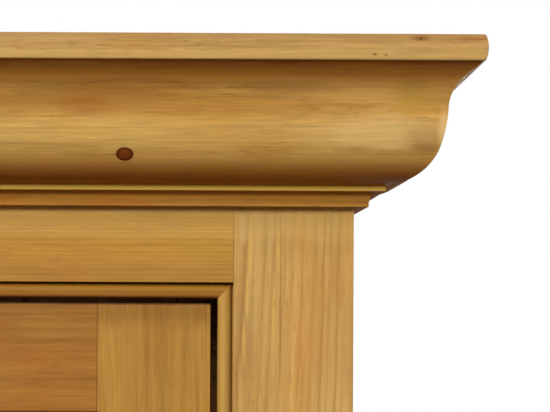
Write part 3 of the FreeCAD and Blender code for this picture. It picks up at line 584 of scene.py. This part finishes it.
def mouldingReturn(node, moulding, side):  # side is 1 at the right and -1 at the left
    section = sectionPoints(moulding["profile"], moulding["rounding"])
    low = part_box(node)[0].z
    steps = moulding["returnSteps"]
    return standFor(loftPiece(camelName(node), [[
        [(side * (halfWidth + mm(out)), (faceY - mm(out)) * (1 - k / steps) + backY * k / steps,
          low + mm(up)) for out, up in section] for k in range(steps + 1)]]), node)


# Each piece of the cornice, with the pine that it takes
cornice = [
    (mouldingFront("crown_front", crown), "crownFront"),
    (mouldingReturn("crown_right_return", crown, 1), "crownReturn"),
    (mouldingReturn("crown_left_return", crown, -1), "crownReturn"),
    (mouldingFront("bed_mould_front", bedMould), "bedMouldFront"),
    (mouldingReturn("bed_mould_right", bedMould, 1), "bedMouldSide"),
    (mouldingReturn("bed_mould_left", bedMould, -1), "bedMouldSide"),
]
print("cornice made,", len(cornice), "pieces")

# Bead round each door opening: four mitred strips; each point is (inwards, back from the face)
bead = {
    "profile": [(0, 7.4), (1.2, 7.4), (6.6, 2, 5.4, 1), (12, 7.4, 5.4, 1), (12, 20), (0, 20)],
    "rounding": 0.35,
}


def beadFrame(node):
    low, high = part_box(node)
    section = [(mm(inward), faceY + mm(back))
               for inward, back in sectionPoints(bead["profile"], bead["rounding"])]
    left, right, bottom, top = (low.x, 1), (high.x, -1), (low.z, 1), (high.z, -1)

    def mitre(side, end):
        return [(side[0] + side[1] * inward, y, end[0] + end[1] * inward)
                for inward, y in section]

    strips = [[mitre(left, bottom), mitre(left, top)], [mitre(right, bottom), mitre(right, top)],
              [mitre(left, bottom), mitre(right, bottom)], [mitre(left, top), mitre(right, top)]]
    return standFor(loftPiece(camelName(node), strips), node)


beads = {node: beadFrame(node) for node in ("left_door_bead", "right_door_bead")}
print("beads made,", len(beads))

# Boards whose CAD shape is right, with softened arrises; the number is the rounding in mm
boards = {
    "top_board": 0.9, "left_side": 0.7, "right_side": 0.7, "cabinet_floor": 0.6,
    "drawer_deck": 0.6, "back_boards": 1.6, "left_stile": 0.45, "right_stile": 0.45,
    "top_rail": 0.45, "waist_rail": 0.45, "bottom_rail": 0.5, "door_mullion": 0.45,
    "drawer_mullion": 0.45, "plinth_front": 0.7, "plinth_left": 0.7, "plinth_right": 0.7,
    "lower_shelf": 1.2, "middle_shelf": 1.2, "upper_shelf": 1.2, "door_stop": 0.6,
    "drawer_runners": 0.5, "shelf_pins": 0.5,
    "hinge_frame_leaves": 0.25, "hinge_pins": 0.2,
}
for side in ("left", "right"):
    boards.update({
        side + "_door_hinge_stile": 0.7, side + "_door_meeting_stile": 0.7,
        side + "_door_top_rail": 0.45, side + "_door_bottom_rail": 0.45,
        side + "_door_glazing_bars": 0.4, side + "_door_glass": 0.4,
        side + "_door_hinge_leaves": 0.25,
        side + "_drawer_front": 0.8, side + "_drawer_left_side": 0.6,
        side + "_drawer_right_side": 0.6, side + "_drawer_back": 0.6,
        side + "_drawer_bottom": 0.5,
    })
pieces = {node: standFor(softened(node, rounding), node) for node, rounding in boards.items()}
print("boards softened,", len(pieces))

# Turned knobs: each point is (radius, out from the face)
knobShape = {
    "profile": [(5, -12), (5, 0), (10.6, 0), (11, 0.5), (11, 3.4), (10.7, 4),
                (8, 10.8, 9, 1, 6), (17, 19.2, 17, -1, 8), (17.2, 20.2), (16.9, 21.2),
                (0.35, 30, 20.5, 1, 14)],
    "height": 30,
    "segments": 56,
}


def turnedKnob(node):
    low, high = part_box(node)
    centreX, centreZ = (low.x + high.x) / 2, (low.z + high.z) / 2
    front = low.y + mm(knobShape["height"])
    count = knobShape["segments"]
    rings = [[(centreX + mm(r) * math.cos(2 * math.pi * k / count), front - mm(out),
               centreZ + mm(r) * math.sin(2 * math.pi * k / count)) for k in range(count)]
             for r, out in outlinePoints(knobShape["profile"])]
    return standFor(loftPiece(camelName(node), [rings]), node)


knobs = {node: turnedKnob(node) for node in nodes if node.endswith("_knob")}
print("knobs turned,", len(knobs))


def tints(early, late, warm):
    return {"Early wood": shade(*early), "Late wood": shade(*late), "Warm tint": shade(*warm)}


waxed = tints((206, 166, 96), (164, 115, 51), (188, 131, 58))
amber = tints((197, 148, 60), (150, 98, 28), (184, 120, 38))
doorAmber = tints((180, 133, 58), (142, 92, 30), (172, 116, 46))
rusty = tints((170, 119, 50), (134, 83, 28), (160, 97, 38))
capWax = tints((196, 158, 95), (156, 112, 56), (182, 130, 64))
crownWax = tints((217, 172, 91), (172, 120, 46), (196, 134, 52))
beadAmber = tints((194, 151, 76), (148, 99, 38), (180, 121, 48))
beadRust = tints((160, 114, 42), (124, 77, 20), (152, 94, 28))
orange = tints((196, 142, 60), (150, 92, 30), (188, 112, 36))
inner = tints((164, 120, 66), (128, 86, 42), (148, 102, 50))
bare = tints((218, 182, 124), (182, 138, 78), (204, 156, 92))


# Stains and patches of painted light and shade at one depth: each is x and z, its reach along
# both, its colour and its amount
def stainsAndPaintedLightAt(y, deep, rows):
    return [((x, y, z), (wide, deep, tall), shade(*colour), amount)
            for x, z, wide, tall, colour, amount in rows]


capMarksAndPaintedLight = stainsAndPaintedLightAt(-0.2466, 0.02, [
    # Painted shade over the top of the cap's rounded edge and painted light along its bottom; the
    # rest are small dark blemishes
    (0, 2.08, 9, 0.0085, (150, 112, 66), 0.52),
    (0, 2.062, 9, 0.0085, (246, 202, 120), 0.36),
    (0.6551, 2.0766, 0.0105, 0.0034, (128, 84, 36), 0.75),
    (0.6548, 2.0764, 0.0016, 0.0011, (58, 26, 10), 0.95),
    (0.693, 2.0762, 0.015, 0.0011, (164, 92, 44), 0.75),
    (0.622, 2.0652, 0.0022, 0.0011, (96, 52, 20), 0.8),
    (0.63, 2.0648, 0.0016, 0.001, (108, 62, 24), 0.7),
])
crownMarksAndPaintedLight = [
    # Painted light on the fillet at the crown's foot
    ((0, -0.1763, 1.972), (9, 0.006, 0.0056), shade(248, 202, 92), 0.95),
    # Painted shade at the crown's top under the cap, then painted light easing it below
    ((0, -0.24, 2.061), (9, 0.04, 0.0045), shade(140, 60, 8), 0.45),
    ((0, -0.228, 2.0512), (9, 0.04, 0.0054), shade(255, 206, 110), 0.8),
    # Painted shade and painted light in bands across the cove and belly
    ((0, -0.219, 2.032), (9, 0.04, 0.015), shade(158, 106, 42), 0.45),
    ((0.41, -0.219, 2.037), (0.11, 0.04, 0.013), shade(166, 108, 46), 0.42),
    ((0, -0.215, 2.01), (9, 0.04, 0.016), shade(244, 206, 124), 0.22),
    ((0, -0.212, 1.9848), (9, 0.04, 0.0165), shade(250, 208, 118), 0.62),
    # Painted light on the right-hand part of the cove and belly
    ((0.65, -0.23, 2.05), (0.1, 0.04, 0.008), shade(255, 206, 110), 0.55),
    ((0.615, -0.219, 2.045), (0.095, 0.04, 0.02), shade(240, 190, 108), 0.5),
    ((0.63, -0.219, 2.011), (0.075, 0.04, 0.019), shade(255, 220, 150), 0.3),
    ((0.66, -0.217, 2.007), (0.022, 0.04, 0.017), shade(160, 108, 54), 0.36),
    ((0.66, -0.217, 2.0), (0.015, 0.04, 0.005), shade(130, 78, 38), 0.34),
    ((0.673, -0.219, 2.013), (0.006, 0.04, 0.019), shade(238, 196, 132), 0.7),
    ((0.65, -0.219, 2.037), (0.022, 0.04, 0.02), shade(190, 148, 58), 0.5),
    ((0.4324, -0.211, 1.9941), (0.0095, 0.04, 0.0006), shade(92, 48, 18), 0.5),
    ((0.412, -0.219, 2.029), (0.028, 0.04, 0.01), shade(160, 100, 44), 0.4),
    ((0.56, -0.219, 2.042), (0.05, 0.04, 0.006), shade(140, 84, 30), 0.3),
]
bedPaintedLight = stainsAndPaintedLightAt(-0.166, 0.04, [
    # Painted light on the top of the bed mould's face, in the crown's shadow
    (0, 1.967, 9, 0.0046, (250, 172, 72), 0.75),
])
railPaintedLightAndShade = stainsAndPaintedLightAt(-0.1534, 0.02, [
    # Painted light easing the shadow under the bed mould, then painted shade towards the rail's
    # bottom
    (0, 1.9562, 9, 0.0056, (248, 202, 112), 0.8),
    (0, 1.945, 9, 0.017, (236, 190, 104), 0.36),
    (0, 1.907, 9, 0.022, (146, 98, 48), 0.42),
])
# The rail's two patches of painted light come first; the rest darken or lighten the stile in
# streaks and patches
stileMarksAndPaintedLight = railPaintedLightAndShade[:2] + stainsAndPaintedLightAt(-0.1534, 0.02, [
    (0.5285, 1.86, 0.013, 0.075, (136, 90, 42), 0.3),
    (0.61, 1.85, 0.015, 0.06, (158, 112, 60), 0.3),
    (0.5332, 1.9257, 0.0018, 0.033, (226, 184, 96), 0.55),
    (0.5312, 1.89, 0.0019, 0.024, (224, 182, 98), 0.5),
    (0.5288, 1.858, 0.002, 0.024, (222, 180, 98), 0.5),
    (0.5262, 1.82, 0.0021, 0.036, (220, 178, 98), 0.45),
    (0.528, 1.942, 0.0044, 0.015, (222, 184, 120), 0.5),
    (0.5285, 1.956, 0.005, 0.0022, (214, 172, 84), 0.5),
    (0.5541, 1.929, 0.0018, 0.028, (224, 180, 88), 0.5),
    (0.5505, 1.878, 0.002, 0.034, (222, 178, 86), 0.45),
    (0.5558, 1.89, 0.0009, 0.09, (146, 100, 50), 0.55),
    (0.5205, 1.9556, 0.0012, 0.0016, (70, 30, 8), 0.8),
    (0.5204, 1.93, 0.0009, 0.003, (90, 48, 14), 0.6),
])
beadToneAndPaintedLight = stainsAndPaintedLightAt(-0.15, 0.02, [
    # Darker over the upper half of the bead
    (0.3, 1.8985, 9, 0.0035, (158, 104, 24), 0.45),
    # Painted light on the lower, downward-facing half of the bead's nose
    (0.3, 1.891, 9, 0.0036, (214, 134, 62), 0.55),
])
doorTopPaintedShade = stainsAndPaintedLightAt(-0.153, 0.04, [
    # Painted shadow across the door's top below the bead, and painted shade over its top arris
    (0, 1.885, 9, 0.022, (92, 52, 16), 0.34),
    (0, 1.8857, 9, 0.0016, (52, 24, 6), 0.8),
])
doorMarksAndPaintedShade = doorTopPaintedShade + stainsAndPaintedLightAt(-0.153, 0.02, [
    (0.418, 1.87, 0.0012, 0.006, (100, 58, 22), 0.55),
    (0.4185, 1.884, 0.0022, 0.0016, (90, 50, 20), 0.7),
    (0.472, 1.8848, 0.016, 0.001, (110, 66, 26), 0.7),
    # Painted shadow along the door's edge near its top
    (0.496, 1.879, 0.006, 0.011, (150, 96, 44), 0.45),
])
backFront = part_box("back_boards")[0].y  # the dark corners are on the inner face alone
# Painted shade: dark corners and a dark band at the top of the back's inner face, seen through
# the gaps round the doors
backPaintedShade = stainsAndPaintedLightAt(backFront, 0.006, [
    (0.505, 1.9, 0.06, 0.11, (40, 16, 5), 0.85),
    (-0.505, 1.9, 0.06, 0.11, (40, 16, 5), 0.85),
    (0, 1.92, 9, 0.07, (40, 16, 5), 0.85),
])

# One pine for each kind of piece, with its own log, slope of grain and tint
pines = {
    "topBoard": dict(grain="x", pith=(0, -0.10, 1.93), tilt=(0.35, 0.4), ringPitch=0.0052,
                     ringStrength=0.5, fibre=1.6, flecks=0.42, mottle=0.7, strips=("y", 0.104),
                     knots=throughThird, shine=0.03, coat=0.0, stains=capMarksAndPaintedLight,
                     colours=capWax),
    "crownFront": dict(grain="x", pith=(0, -0.02, 1.70), tilt=(0.4, 0.2), ringPitch=0.0034,
                       ringStrength=0.42, fibre=1.5, flecks=0.5, mottle=1.0, knotShare=0.10,
                       ownKnot=((0.4427, -0.2110, 1.9944), 0.0048), stains=crownMarksAndPaintedLight,
                       shine=0.04, coat=0.0, colours=crownWax, hollow=1.0),
    "crownReturn": dict(grain="y", pith=(0.62, 0, 1.70), tilt=(0.3, 0.2), ringPitch=0.0034,
                        ringStrength=0.2, mottle=0.7, knots=throughThird, colours=crownWax,
                        shine=0.0002, coat=0.0, hollow=0.4),
    "bedMouldFront": dict(grain="x", pith=(0, -0.11, 1.90), tilt=(0.3, 0.2), ringPitch=0.006,
                          ringStrength=0.5, mottle=1.6, fibre=1.2, knotShare=0.0,
                          colours=orange, shine=0.1, coat=0.0, dirt=0.2, stains=bedPaintedLight,
                          hollow=0.3),
    "bedMouldSide": dict(grain="y", pith=(0.55, 0, 1.90), tilt=(0.3, 0.2), ringPitch=0.006,
                         mottle=0.9, knotShare=0.0, colours=orange, shine=0.0002, coat=0.0,
                         hollow=0.3),
    "topRail": dict(grain="x", pith=(0, -0.14, 1.55), tilt=(0.1, 0.05), ringPitch=0.0033,
                    ringStrength=0.6, ringWave=0.0010, fibre=0.9, flecks=0.2, mottle=0.45,
                    knotShare=0.0, dirt=0.12, stains=railPaintedLightAndShade, colours=amber),
    "waistRail": dict(grain="x", pith=(0.1, -0.05, 0.28), tilt=(0.4, 0.5), ringPitch=0.005,
                      ringStrength=0.32, colours=amber),
    "bottomRail": dict(grain="x", pith=(-0.1, -0.07, 0.17), tilt=(0.5, 0.3), ringPitch=0.0055,
                       ringStrength=0.34, colours=amber),
    "rightStile": dict(grain="z", pith=(0.512, -0.112, 2.0), tilt=(-1.9, 0.6), ringPitch=0.0058,
                       ringStrength=0.7, ringWave=0.009, flecks=0.3, fibre=0.9, mottle=1.0,
                       knotShare=0.0, dirt=0.12, stains=stileMarksAndPaintedLight, colours=waxed),
    "leftStile": dict(grain="z", pith=(-0.548, -0.116, 0.9), tilt=(1.2, 0.5), ringPitch=0.0056,
                      ringStrength=0.34, ringWave=0.008, colours=waxed),
    "mullion": dict(grain="z", pith=(0.012, -0.12, 0.6), tilt=(0.9, 0.4), ringPitch=0.005,
                    ringStrength=0.34, ringWave=0.007, colours=waxed),
    "beadUpright": dict(grain="z", pith=(0.3, 0.1, 1), tilt=(0.2, 0.2), ringPitch=0.003,
                        ringStrength=0.3, mottle=0.5, knotShare=0.0, dirt=0.3,
                        colours=beadAmber),
    "beadAcross": dict(grain="x", pith=(0, 0.1, 1), tilt=(0.2, 0.2), ringPitch=0.003,
                       ringStrength=0.3, mottle=0.6, knotShare=0.0, shine=0.05, dirt=0.3,
                       stains=beadToneAndPaintedLight, colours=beadRust),
    "rightHingeStile": dict(grain="z", pith=(0.45, -0.095, 1.3), tilt=(1.2, 0.8),
                            ringPitch=0.0052, ringStrength=0.36, ringWave=0.007, mottle=0.6,
                            fibre=1.2, flecks=0.3, knotShare=0.0, stains=doorMarksAndPaintedShade,
                            colours=doorAmber),
    "leftHingeStile": dict(grain="z", pith=(-0.47, -0.09, 0.9), tilt=(-1.0, 0.6),
                           ringPitch=0.006, ringStrength=0.4, ringWave=0.007,
                           colours=doorAmber),
    "meetingStile": dict(grain="z", pith=(0.1, -0.10, 1.1), tilt=(0.7, 0.7), ringPitch=0.0056,
                         ringStrength=0.42, ringWave=0.007, colours=doorAmber),
    "doorRail": dict(grain="x", pith=(0.25, -0.08, 1.60), tilt=(0.6, 0.5), ringPitch=0.0062,
                     ringStrength=0.5, fibre=1.2, mottle=0.9, knotShare=0.0,
                     stains=doorTopPaintedShade, colours=rusty),
    "barUpright": dict(grain="z", pith=(0.31, 0.0, 1), tilt=(0.3, 0.2), ringPitch=0.004,
                       knotShare=0.0, dirt=0.1, colours=waxed),
    "barAcross": dict(grain="x", pith=(0.2, 0.0, 1.2), tilt=(0.3, 0.2), ringPitch=0.004,
                      knotShare=0.0, dirt=0.1, colours=waxed),
    "drawerFront": dict(grain="x", pith=(0.15, -0.08, 0.21), tilt=(0.8, 0.7), ringPitch=0.0056,
                        ringStrength=0.36, ringWave=0.008, knotShare=0.3, colours=waxed),
    "side": dict(grain="z", pith=(0.53, 0.0, 1.1), tilt=(0.5, 0.9), ringPitch=0.0052,
                 ringStrength=0.36, ringWave=0.009, knotShare=0.3, strips=("y", 0.094),
                 knots=throughThird, colours=waxed),
    "plinthFront": dict(grain="x", pith=(-0.2, -0.10, 0.05), tilt=(0.5, 0.4), ringPitch=0.005,
                        ringStrength=0.36, knotShare=0.3, colours=amber),
    "plinthSide": dict(grain="y", pith=(0.55, 0.0, 0.05), tilt=(0.5, 0.4), ringPitch=0.005,
                       ringStrength=0.36, colours=amber),
    "knob": dict(grain="y", pith=(0.30, 0, 1.08), tilt=(2, 2), ringPitch=0.0032,
                 ringStrength=0.4, knotShare=0.0, shine=0.5, coat=0.3, colours=amber),
    "shelf": dict(grain="x", pith=(0.1, 0.0, 0.9), tilt=(0.5, 0.6), ringPitch=0.005,
                  ringStrength=0.36, knotShare=0.3, strips=("y", 0.09), knots=throughThird,
                  colours=waxed),
    "insideBoard": dict(grain="x", pith=(0.1, 0.02, 0.2), tilt=(0.5, 0.6), ringPitch=0.005,
                        ringStrength=0.36, knotShare=0.3, strips=("y", 0.09),
                        knots=throughThird, shine=0.2, coat=0.0, colours=bare),
    "backBoards": dict(grain="z", pith=(0, 0.16, 1.0), tilt=(0.4, 0.5), perBoard=0.35,
                       ringPitch=0.0055, ringStrength=0.4, ringWave=0.009, knotShare=0.4,
                       shine=0.2, coat=0.0, stains=backPaintedShade, colours=inner),
    "drawerSide": dict(grain="y", pith=(0.2, 0.0, 0.3), tilt=(0.5, 0.6), ringPitch=0.0045,
                       ringStrength=0.36, shine=0.2, coat=0.0, colours=bare),
    "runner": dict(grain="y", pith=(0.2, 0.0, 0.4), tilt=(0.5, 0.6), perBoard=0.3, shine=0.2,
                   coat=0.0, colours=bare),
    "lath": dict(grain="z", pith=(0.02, -0.04, 1.0), tilt=(0.5, 0.6), shine=0.2, coat=0.0,
                 colours=bare),
}
pineOf = {name: pineMaterial("pine" + name[0].upper() + name[1:], **values)
          for name, values in pines.items()}
print("pines made,", len(pineOf))

# Which pine each node takes, and the name of a slot that nothing applies: the first ending that
# fits is used
endings = [
    ("top_board", "topBoard", "moulded_pine"), ("right_stile", "rightStile", "frame_pine"),
    ("left_stile", "leftStile", "frame_pine"),
    ("right_door_hinge_stile", "rightHingeStile", "frame_pine"),
    ("left_door_hinge_stile", "leftHingeStile", "frame_pine"),
    ("meeting_stile", "meetingStile", "frame_pine"),
    ("door_top_rail", "doorRail", "frame_pine"), ("door_bottom_rail", "doorRail", "frame_pine"),
    ("top_rail", "topRail", "frame_pine"), ("waist_rail", "waistRail", "frame_pine"),
    ("bottom_rail", "bottomRail", "frame_pine"), ("mullion", "mullion", "frame_pine"),
    ("drawer_front", "drawerFront", "frame_pine"),
    ("plinth_front", "plinthFront", "moulded_pine"),
    ("plinth_left", "plinthSide", "moulded_pine"),
    ("plinth_right", "plinthSide", "moulded_pine"),
    ("drawer_left_side", "drawerSide", "inside_pine"),
    ("drawer_right_side", "drawerSide", "inside_pine"),
    ("drawer_back", "insideBoard", "inside_pine"),
    ("drawer_bottom", "insideBoard", "inside_pine"), ("_side", "side", "frame_pine"),
    ("shelf", "shelf", "inside_pine"), ("cabinet_floor", "insideBoard", "inside_pine"),
    ("drawer_deck", "shelf", "inside_pine"), ("back_boards", "backBoards", "inside_pine"),
    ("drawer_runners", "runner", "inside_pine"), ("door_stop", "lath", "inside_pine"),
]


# Uprights take one pine and the pieces across another, told apart by where each face stands
def twoGrains(piece, upright, across, isUpright):
    piece.data.materials.clear()
    for name in (upright, across):
        piece.data.materials.append(pineOf[name])
    for face in piece.data.polygons:
        face.material_index = 0 if isUpright(face.center) else 1


# Metal: a tarnished base with cloudy wear and scratches, darker in the corners
tarnish = {"clouds": 260, "cloudGloss": 0.3, "scratches": (900, 900, 160), "scratchGloss": 0.1,
           "cornerReach": 0.004, "corner": (0.7, 0.2, 0.0, 0.7)}
metals = {
    "agedBrass": {"bright": shade(184, 146, 78), "dull": shade(138, 100, 50),
                  "corners": shade(46, 34, 18), "roughness": 0.2},
    "pinSteel": {"bright": shade(168, 168, 166), "dull": shade(120, 120, 120),
                 "corners": shade(46, 34, 18), "roughness": 0.22},
}


def metalMaterial(name, bright, dull, corners, roughness):
    material, tree = newMaterial(name)
    spot = addNode(tree, "ShaderNodeTexCoord").outputs["Object"]
    cloud = noiseOf(tree, spot, tarnish["clouds"], 4.0, 0.6)
    scratch = noiseOf(tree, vectorSums(tree, "MULTIPLY", spot, tarnish["scratches"]), 1.0)
    colour = mixColour(tree, fade(tree, cloud, 0.35, 0.7), bright, dull)
    corner = addNode(tree, "ShaderNodeAmbientOcclusion", {"Distance": tarnish["cornerReach"]},
                     samples=4)
    colour = mixColour(tree, fade(tree, corner.outputs["AO"], *tarnish["corner"]), colour,
                       corners)
    rough = sums(tree, "MULTIPLY_ADD", cloud, tarnish["cloudGloss"], roughness)
    rough = sums(tree, "MULTIPLY_ADD", scratch, tarnish["scratchGloss"], rough)
    skin = addNode(tree, "ShaderNodeBsdfPrincipled", {
        "Base Color": colour, "Metallic": 1.0, "Roughness": rough})
    addNode(tree, "ShaderNodeOutputMaterial", {"Surface": skin.outputs[0]})
    return material


# Clear glass that lets the light through, with faint cloudy smears in its gloss
pane = {"clean": shade(240, 248, 244), "smeared": shade(228, 240, 234), "smearSize": (5, 5, 3),
        "cleanGloss": 0.03, "smearedGloss": 0.05, "alpha": 0.3}


def paneMaterial(name):
    material, tree = newMaterial(name)
    spot = addNode(tree, "ShaderNodeTexCoord").outputs["Object"]
    smear = noiseOf(tree, vectorSums(tree, "MULTIPLY", spot, pane["smearSize"]), 1.0)
    rough = fade(tree, smear, 0.35, 0.75, pane["cleanGloss"], pane["smearedGloss"])
    colour = mixColour(tree, smear, pane["clean"], pane["smeared"])
    skin = addNode(tree, "ShaderNodeBsdfPrincipled", {
        "Base Color": colour, "Roughness": rough, "Transmission Weight": 1.0, "IOR": 1.45,
        "Alpha": pane["alpha"]})
    addNode(tree, "ShaderNodeOutputMaterial", {"Surface": skin.outputs[0]})
    return material


glass = paneMaterial("paneGlass")
brass, steel = (metalMaterial(name, **finish) for name, finish in metals.items())

barReach = mm(9.2)  # a little more than half the width of the upright glazing bar
for node, piece in pieces.items():
    if node.endswith("glass"):
        dress(piece, glass)
    elif node.endswith(("hinge_leaves", "hinge_frame_leaves", "hinge_pins")):
        dress(piece, brass)
    elif node == "shelf_pins":
        dress(piece, steel)
    elif node.endswith("glazing_bars"):
        low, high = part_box(node)
        middle = (low.x + high.x) / 2
        twoGrains(piece, "barUpright", "barAcross",
                  lambda spot: abs(spot.x - middle) < barReach)
    else:
        kind, slot = next((kind, slot) for ending, kind, slot in endings
                          if node.endswith(ending))
        dress(piece, pineOf[kind])
for piece, kind in cornice:
    dress(piece, pineOf[kind])
for node, piece in beads.items():
    low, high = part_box(node)
    twoGrains(piece, "beadUpright", "beadAcross", lambda spot: min(
        spot.x - low.x, high.x - spot.x) < min(spot.z - low.z, high.z - spot.z))
for piece in knobs.values():
    dress(piece, pineOf["knob"])
print("finishes on")


# A pale floor that keeps the shadow, and far off turns as white as the background
floorShape = {"radius": 300, "sides": 96, "height": -0.0005, "nearWhite": 1.0, "farWhite": 7.0,
              "glow": 0.4, "clouds": 1.4, "pale": shade(238, 238, 236),
              "cloudy": shade(232, 232, 230), "bounce": shade(62, 48, 34)}


def makeFloor():
    count, radius = floorShape["sides"], floorShape["radius"]
    points = [(radius * math.cos(2 * math.pi * k / count),
               radius * math.sin(2 * math.pi * k / count), floorShape["height"])
              for k in range(count)]
    floor = objectFrom("floor", points, [tuple(range(count))])
    material, tree = newMaterial("paleFloor")
    ray = addNode(tree, "ShaderNodeLightPath").outputs
    seen = sums(tree, "MAXIMUM", ray["Is Camera Ray"], sums(
        tree, "MAXIMUM", ray["Is Glossy Ray"], ray["Is Transmission Ray"]))
    spot = addNode(tree, "ShaderNodeTexCoord").outputs["Object"]
    cloud = noiseOf(tree, spot, floorShape["clouds"], 3.0)
    pale = mixColour(tree, cloud, floorShape["pale"], floorShape["cloudy"])
    skin = addNode(tree, "ShaderNodeBsdfDiffuse", {
        "Color": mixColour(tree, seen, floorShape["bounce"], pale)})
    away = vectorSums(tree, "LENGTH", spot, out=1)
    far = sums(tree, "MULTIPLY", seen, fade(
        tree, away, floorShape["nearWhite"], floorShape["farWhite"], floorShape["glow"], 1.0))
    glow = addNode(tree, "ShaderNodeEmission", {"Color": (1, 1, 1, 1), "Strength": 1.0})
    both = addNode(tree, "ShaderNodeMixShader", {0: far, 1: skin.outputs[0],
                                                 2: glow.outputs[0]})
    addNode(tree, "ShaderNodeOutputMaterial", {"Surface": both.outputs[0]})
    floor.data.materials.append(material)


makeFloor()

# The room: warm and dim for what it lights, white where it is seen; behind the cabinet it also
# mirrors white, and in front of it grey
sky = {"light": 0.07, "front": 0.1, "rear": 1.0, "turnsFrom": -0.1, "turnsTo": 0.8,
       "warmth": shade(255, 182, 116)}
world = bpy.data.worlds.new("paleRoom")
bpy.context.scene.world = world
world.use_nodes = True
tree = world.node_tree
tree.nodes.clear()
ray = addNode(tree, "ShaderNodeLightPath").outputs
facing = addNode(tree, "ShaderNodeSeparateXYZ", {
    0: addNode(tree, "ShaderNodeTexCoord").outputs["Generated"]}).outputs[1]
mirrored = fade(tree, facing, sky["turnsFrom"], sky["turnsTo"], sky["front"], sky["rear"])
bright = sums(tree, "MULTIPLY", ray["Is Glossy Ray"], mirrored)
straight = sums(tree, "MAXIMUM", ray["Is Camera Ray"], sums(
    tree, "MULTIPLY", ray["Is Transmission Ray"],
    sums(tree, "SUBTRACT", 1.0, ray["Is Glossy Ray"])))
seen = sums(tree, "MAXIMUM", straight, bright)
shown = sums(tree, "MAXIMUM", straight, ray["Is Glossy Ray"])
colour = mixColour(tree, shown, sky["warmth"], (1, 1, 1, 1))
strength = sums(tree, "MULTIPLY_ADD", sums(tree, "SUBTRACT", 1.0, shown), sky["light"], seen)
glow = addNode(tree, "ShaderNodeBackground", {"Color": colour, "Strength": strength})
addNode(tree, "ShaderNodeOutputWorld", {"Surface": glow.outputs[0]})
print("floor and room made")

lamps = {
    "highSoftbox": {"place": (-0.8, -3.3, 5.0), "aim": (0.1, 0, 1.7), "size": 1.5,
                    "power": 90},
    "frontSoftbox": {"place": (-1.0, -4.5, 3.7), "aim": (0.1, 0, 1.6), "size": 1.5,
                     "power": 165},
    "rightFill": {"place": (4.6, -0.8, 2.6), "aim": (0, 0, 1.2), "size": 2.4, "power": 60},
    "leftFill": {"place": (-4.6, -0.4, 2.6), "aim": (0, 0, 1.2), "size": 2.4, "power": 56},
    "rearFill": {"place": (0.5, 5.0, 3.2), "aim": (0, 0, 1.2), "size": 2.6, "power": 230},
}
for name, lamp in lamps.items():
    light = bpy.data.lights.new(name, "AREA")
    light.shape = "SQUARE"
    light.size = lamp["size"]
    light.energy = lamp["power"]
    body = bpy.data.objects.new(name, light)
    body.location = lamp["place"]
    body.rotation_euler = (Vector(lamp["aim"]) - Vector(lamp["place"])).to_track_quat(
        "-Z", "Y").to_euler()
    bpy.context.scene.collection.objects.link(body)

# The camera that took the photo, by its place, its lens and how it was held, in degrees
camera = {"place": (0.5551, -2.3534, 1.9222), "lens": 194.1, "sensor": 36, "pitch": 0.941,
          "yaw": 0.0955, "roll": 0.3, "nearest": 0.05, "farthest": 2000}
lens = bpy.data.cameras.new("photoCamera")
lens.lens = camera["lens"]
lens.sensor_width = camera["sensor"]
lens.sensor_fit = "HORIZONTAL"
lens.clip_start, lens.clip_end = camera["nearest"], camera["farthest"]
eye = bpy.data.objects.new("photoCamera", lens)
eye.matrix_world = (Matrix.Translation(camera["place"])
                    @ Matrix.Rotation(math.radians(camera["yaw"]), 4, "Z")
                    @ Matrix.Rotation(math.radians(90 + camera["pitch"]), 4, "X")
                    @ Matrix.Rotation(math.radians(camera["roll"]), 4, "Z"))
bpy.context.scene.collection.objects.link(eye)
bpy.context.scene.camera = eye
bpy.context.scene.view_settings.view_transform = "Standard"
print("lamps and camera set")
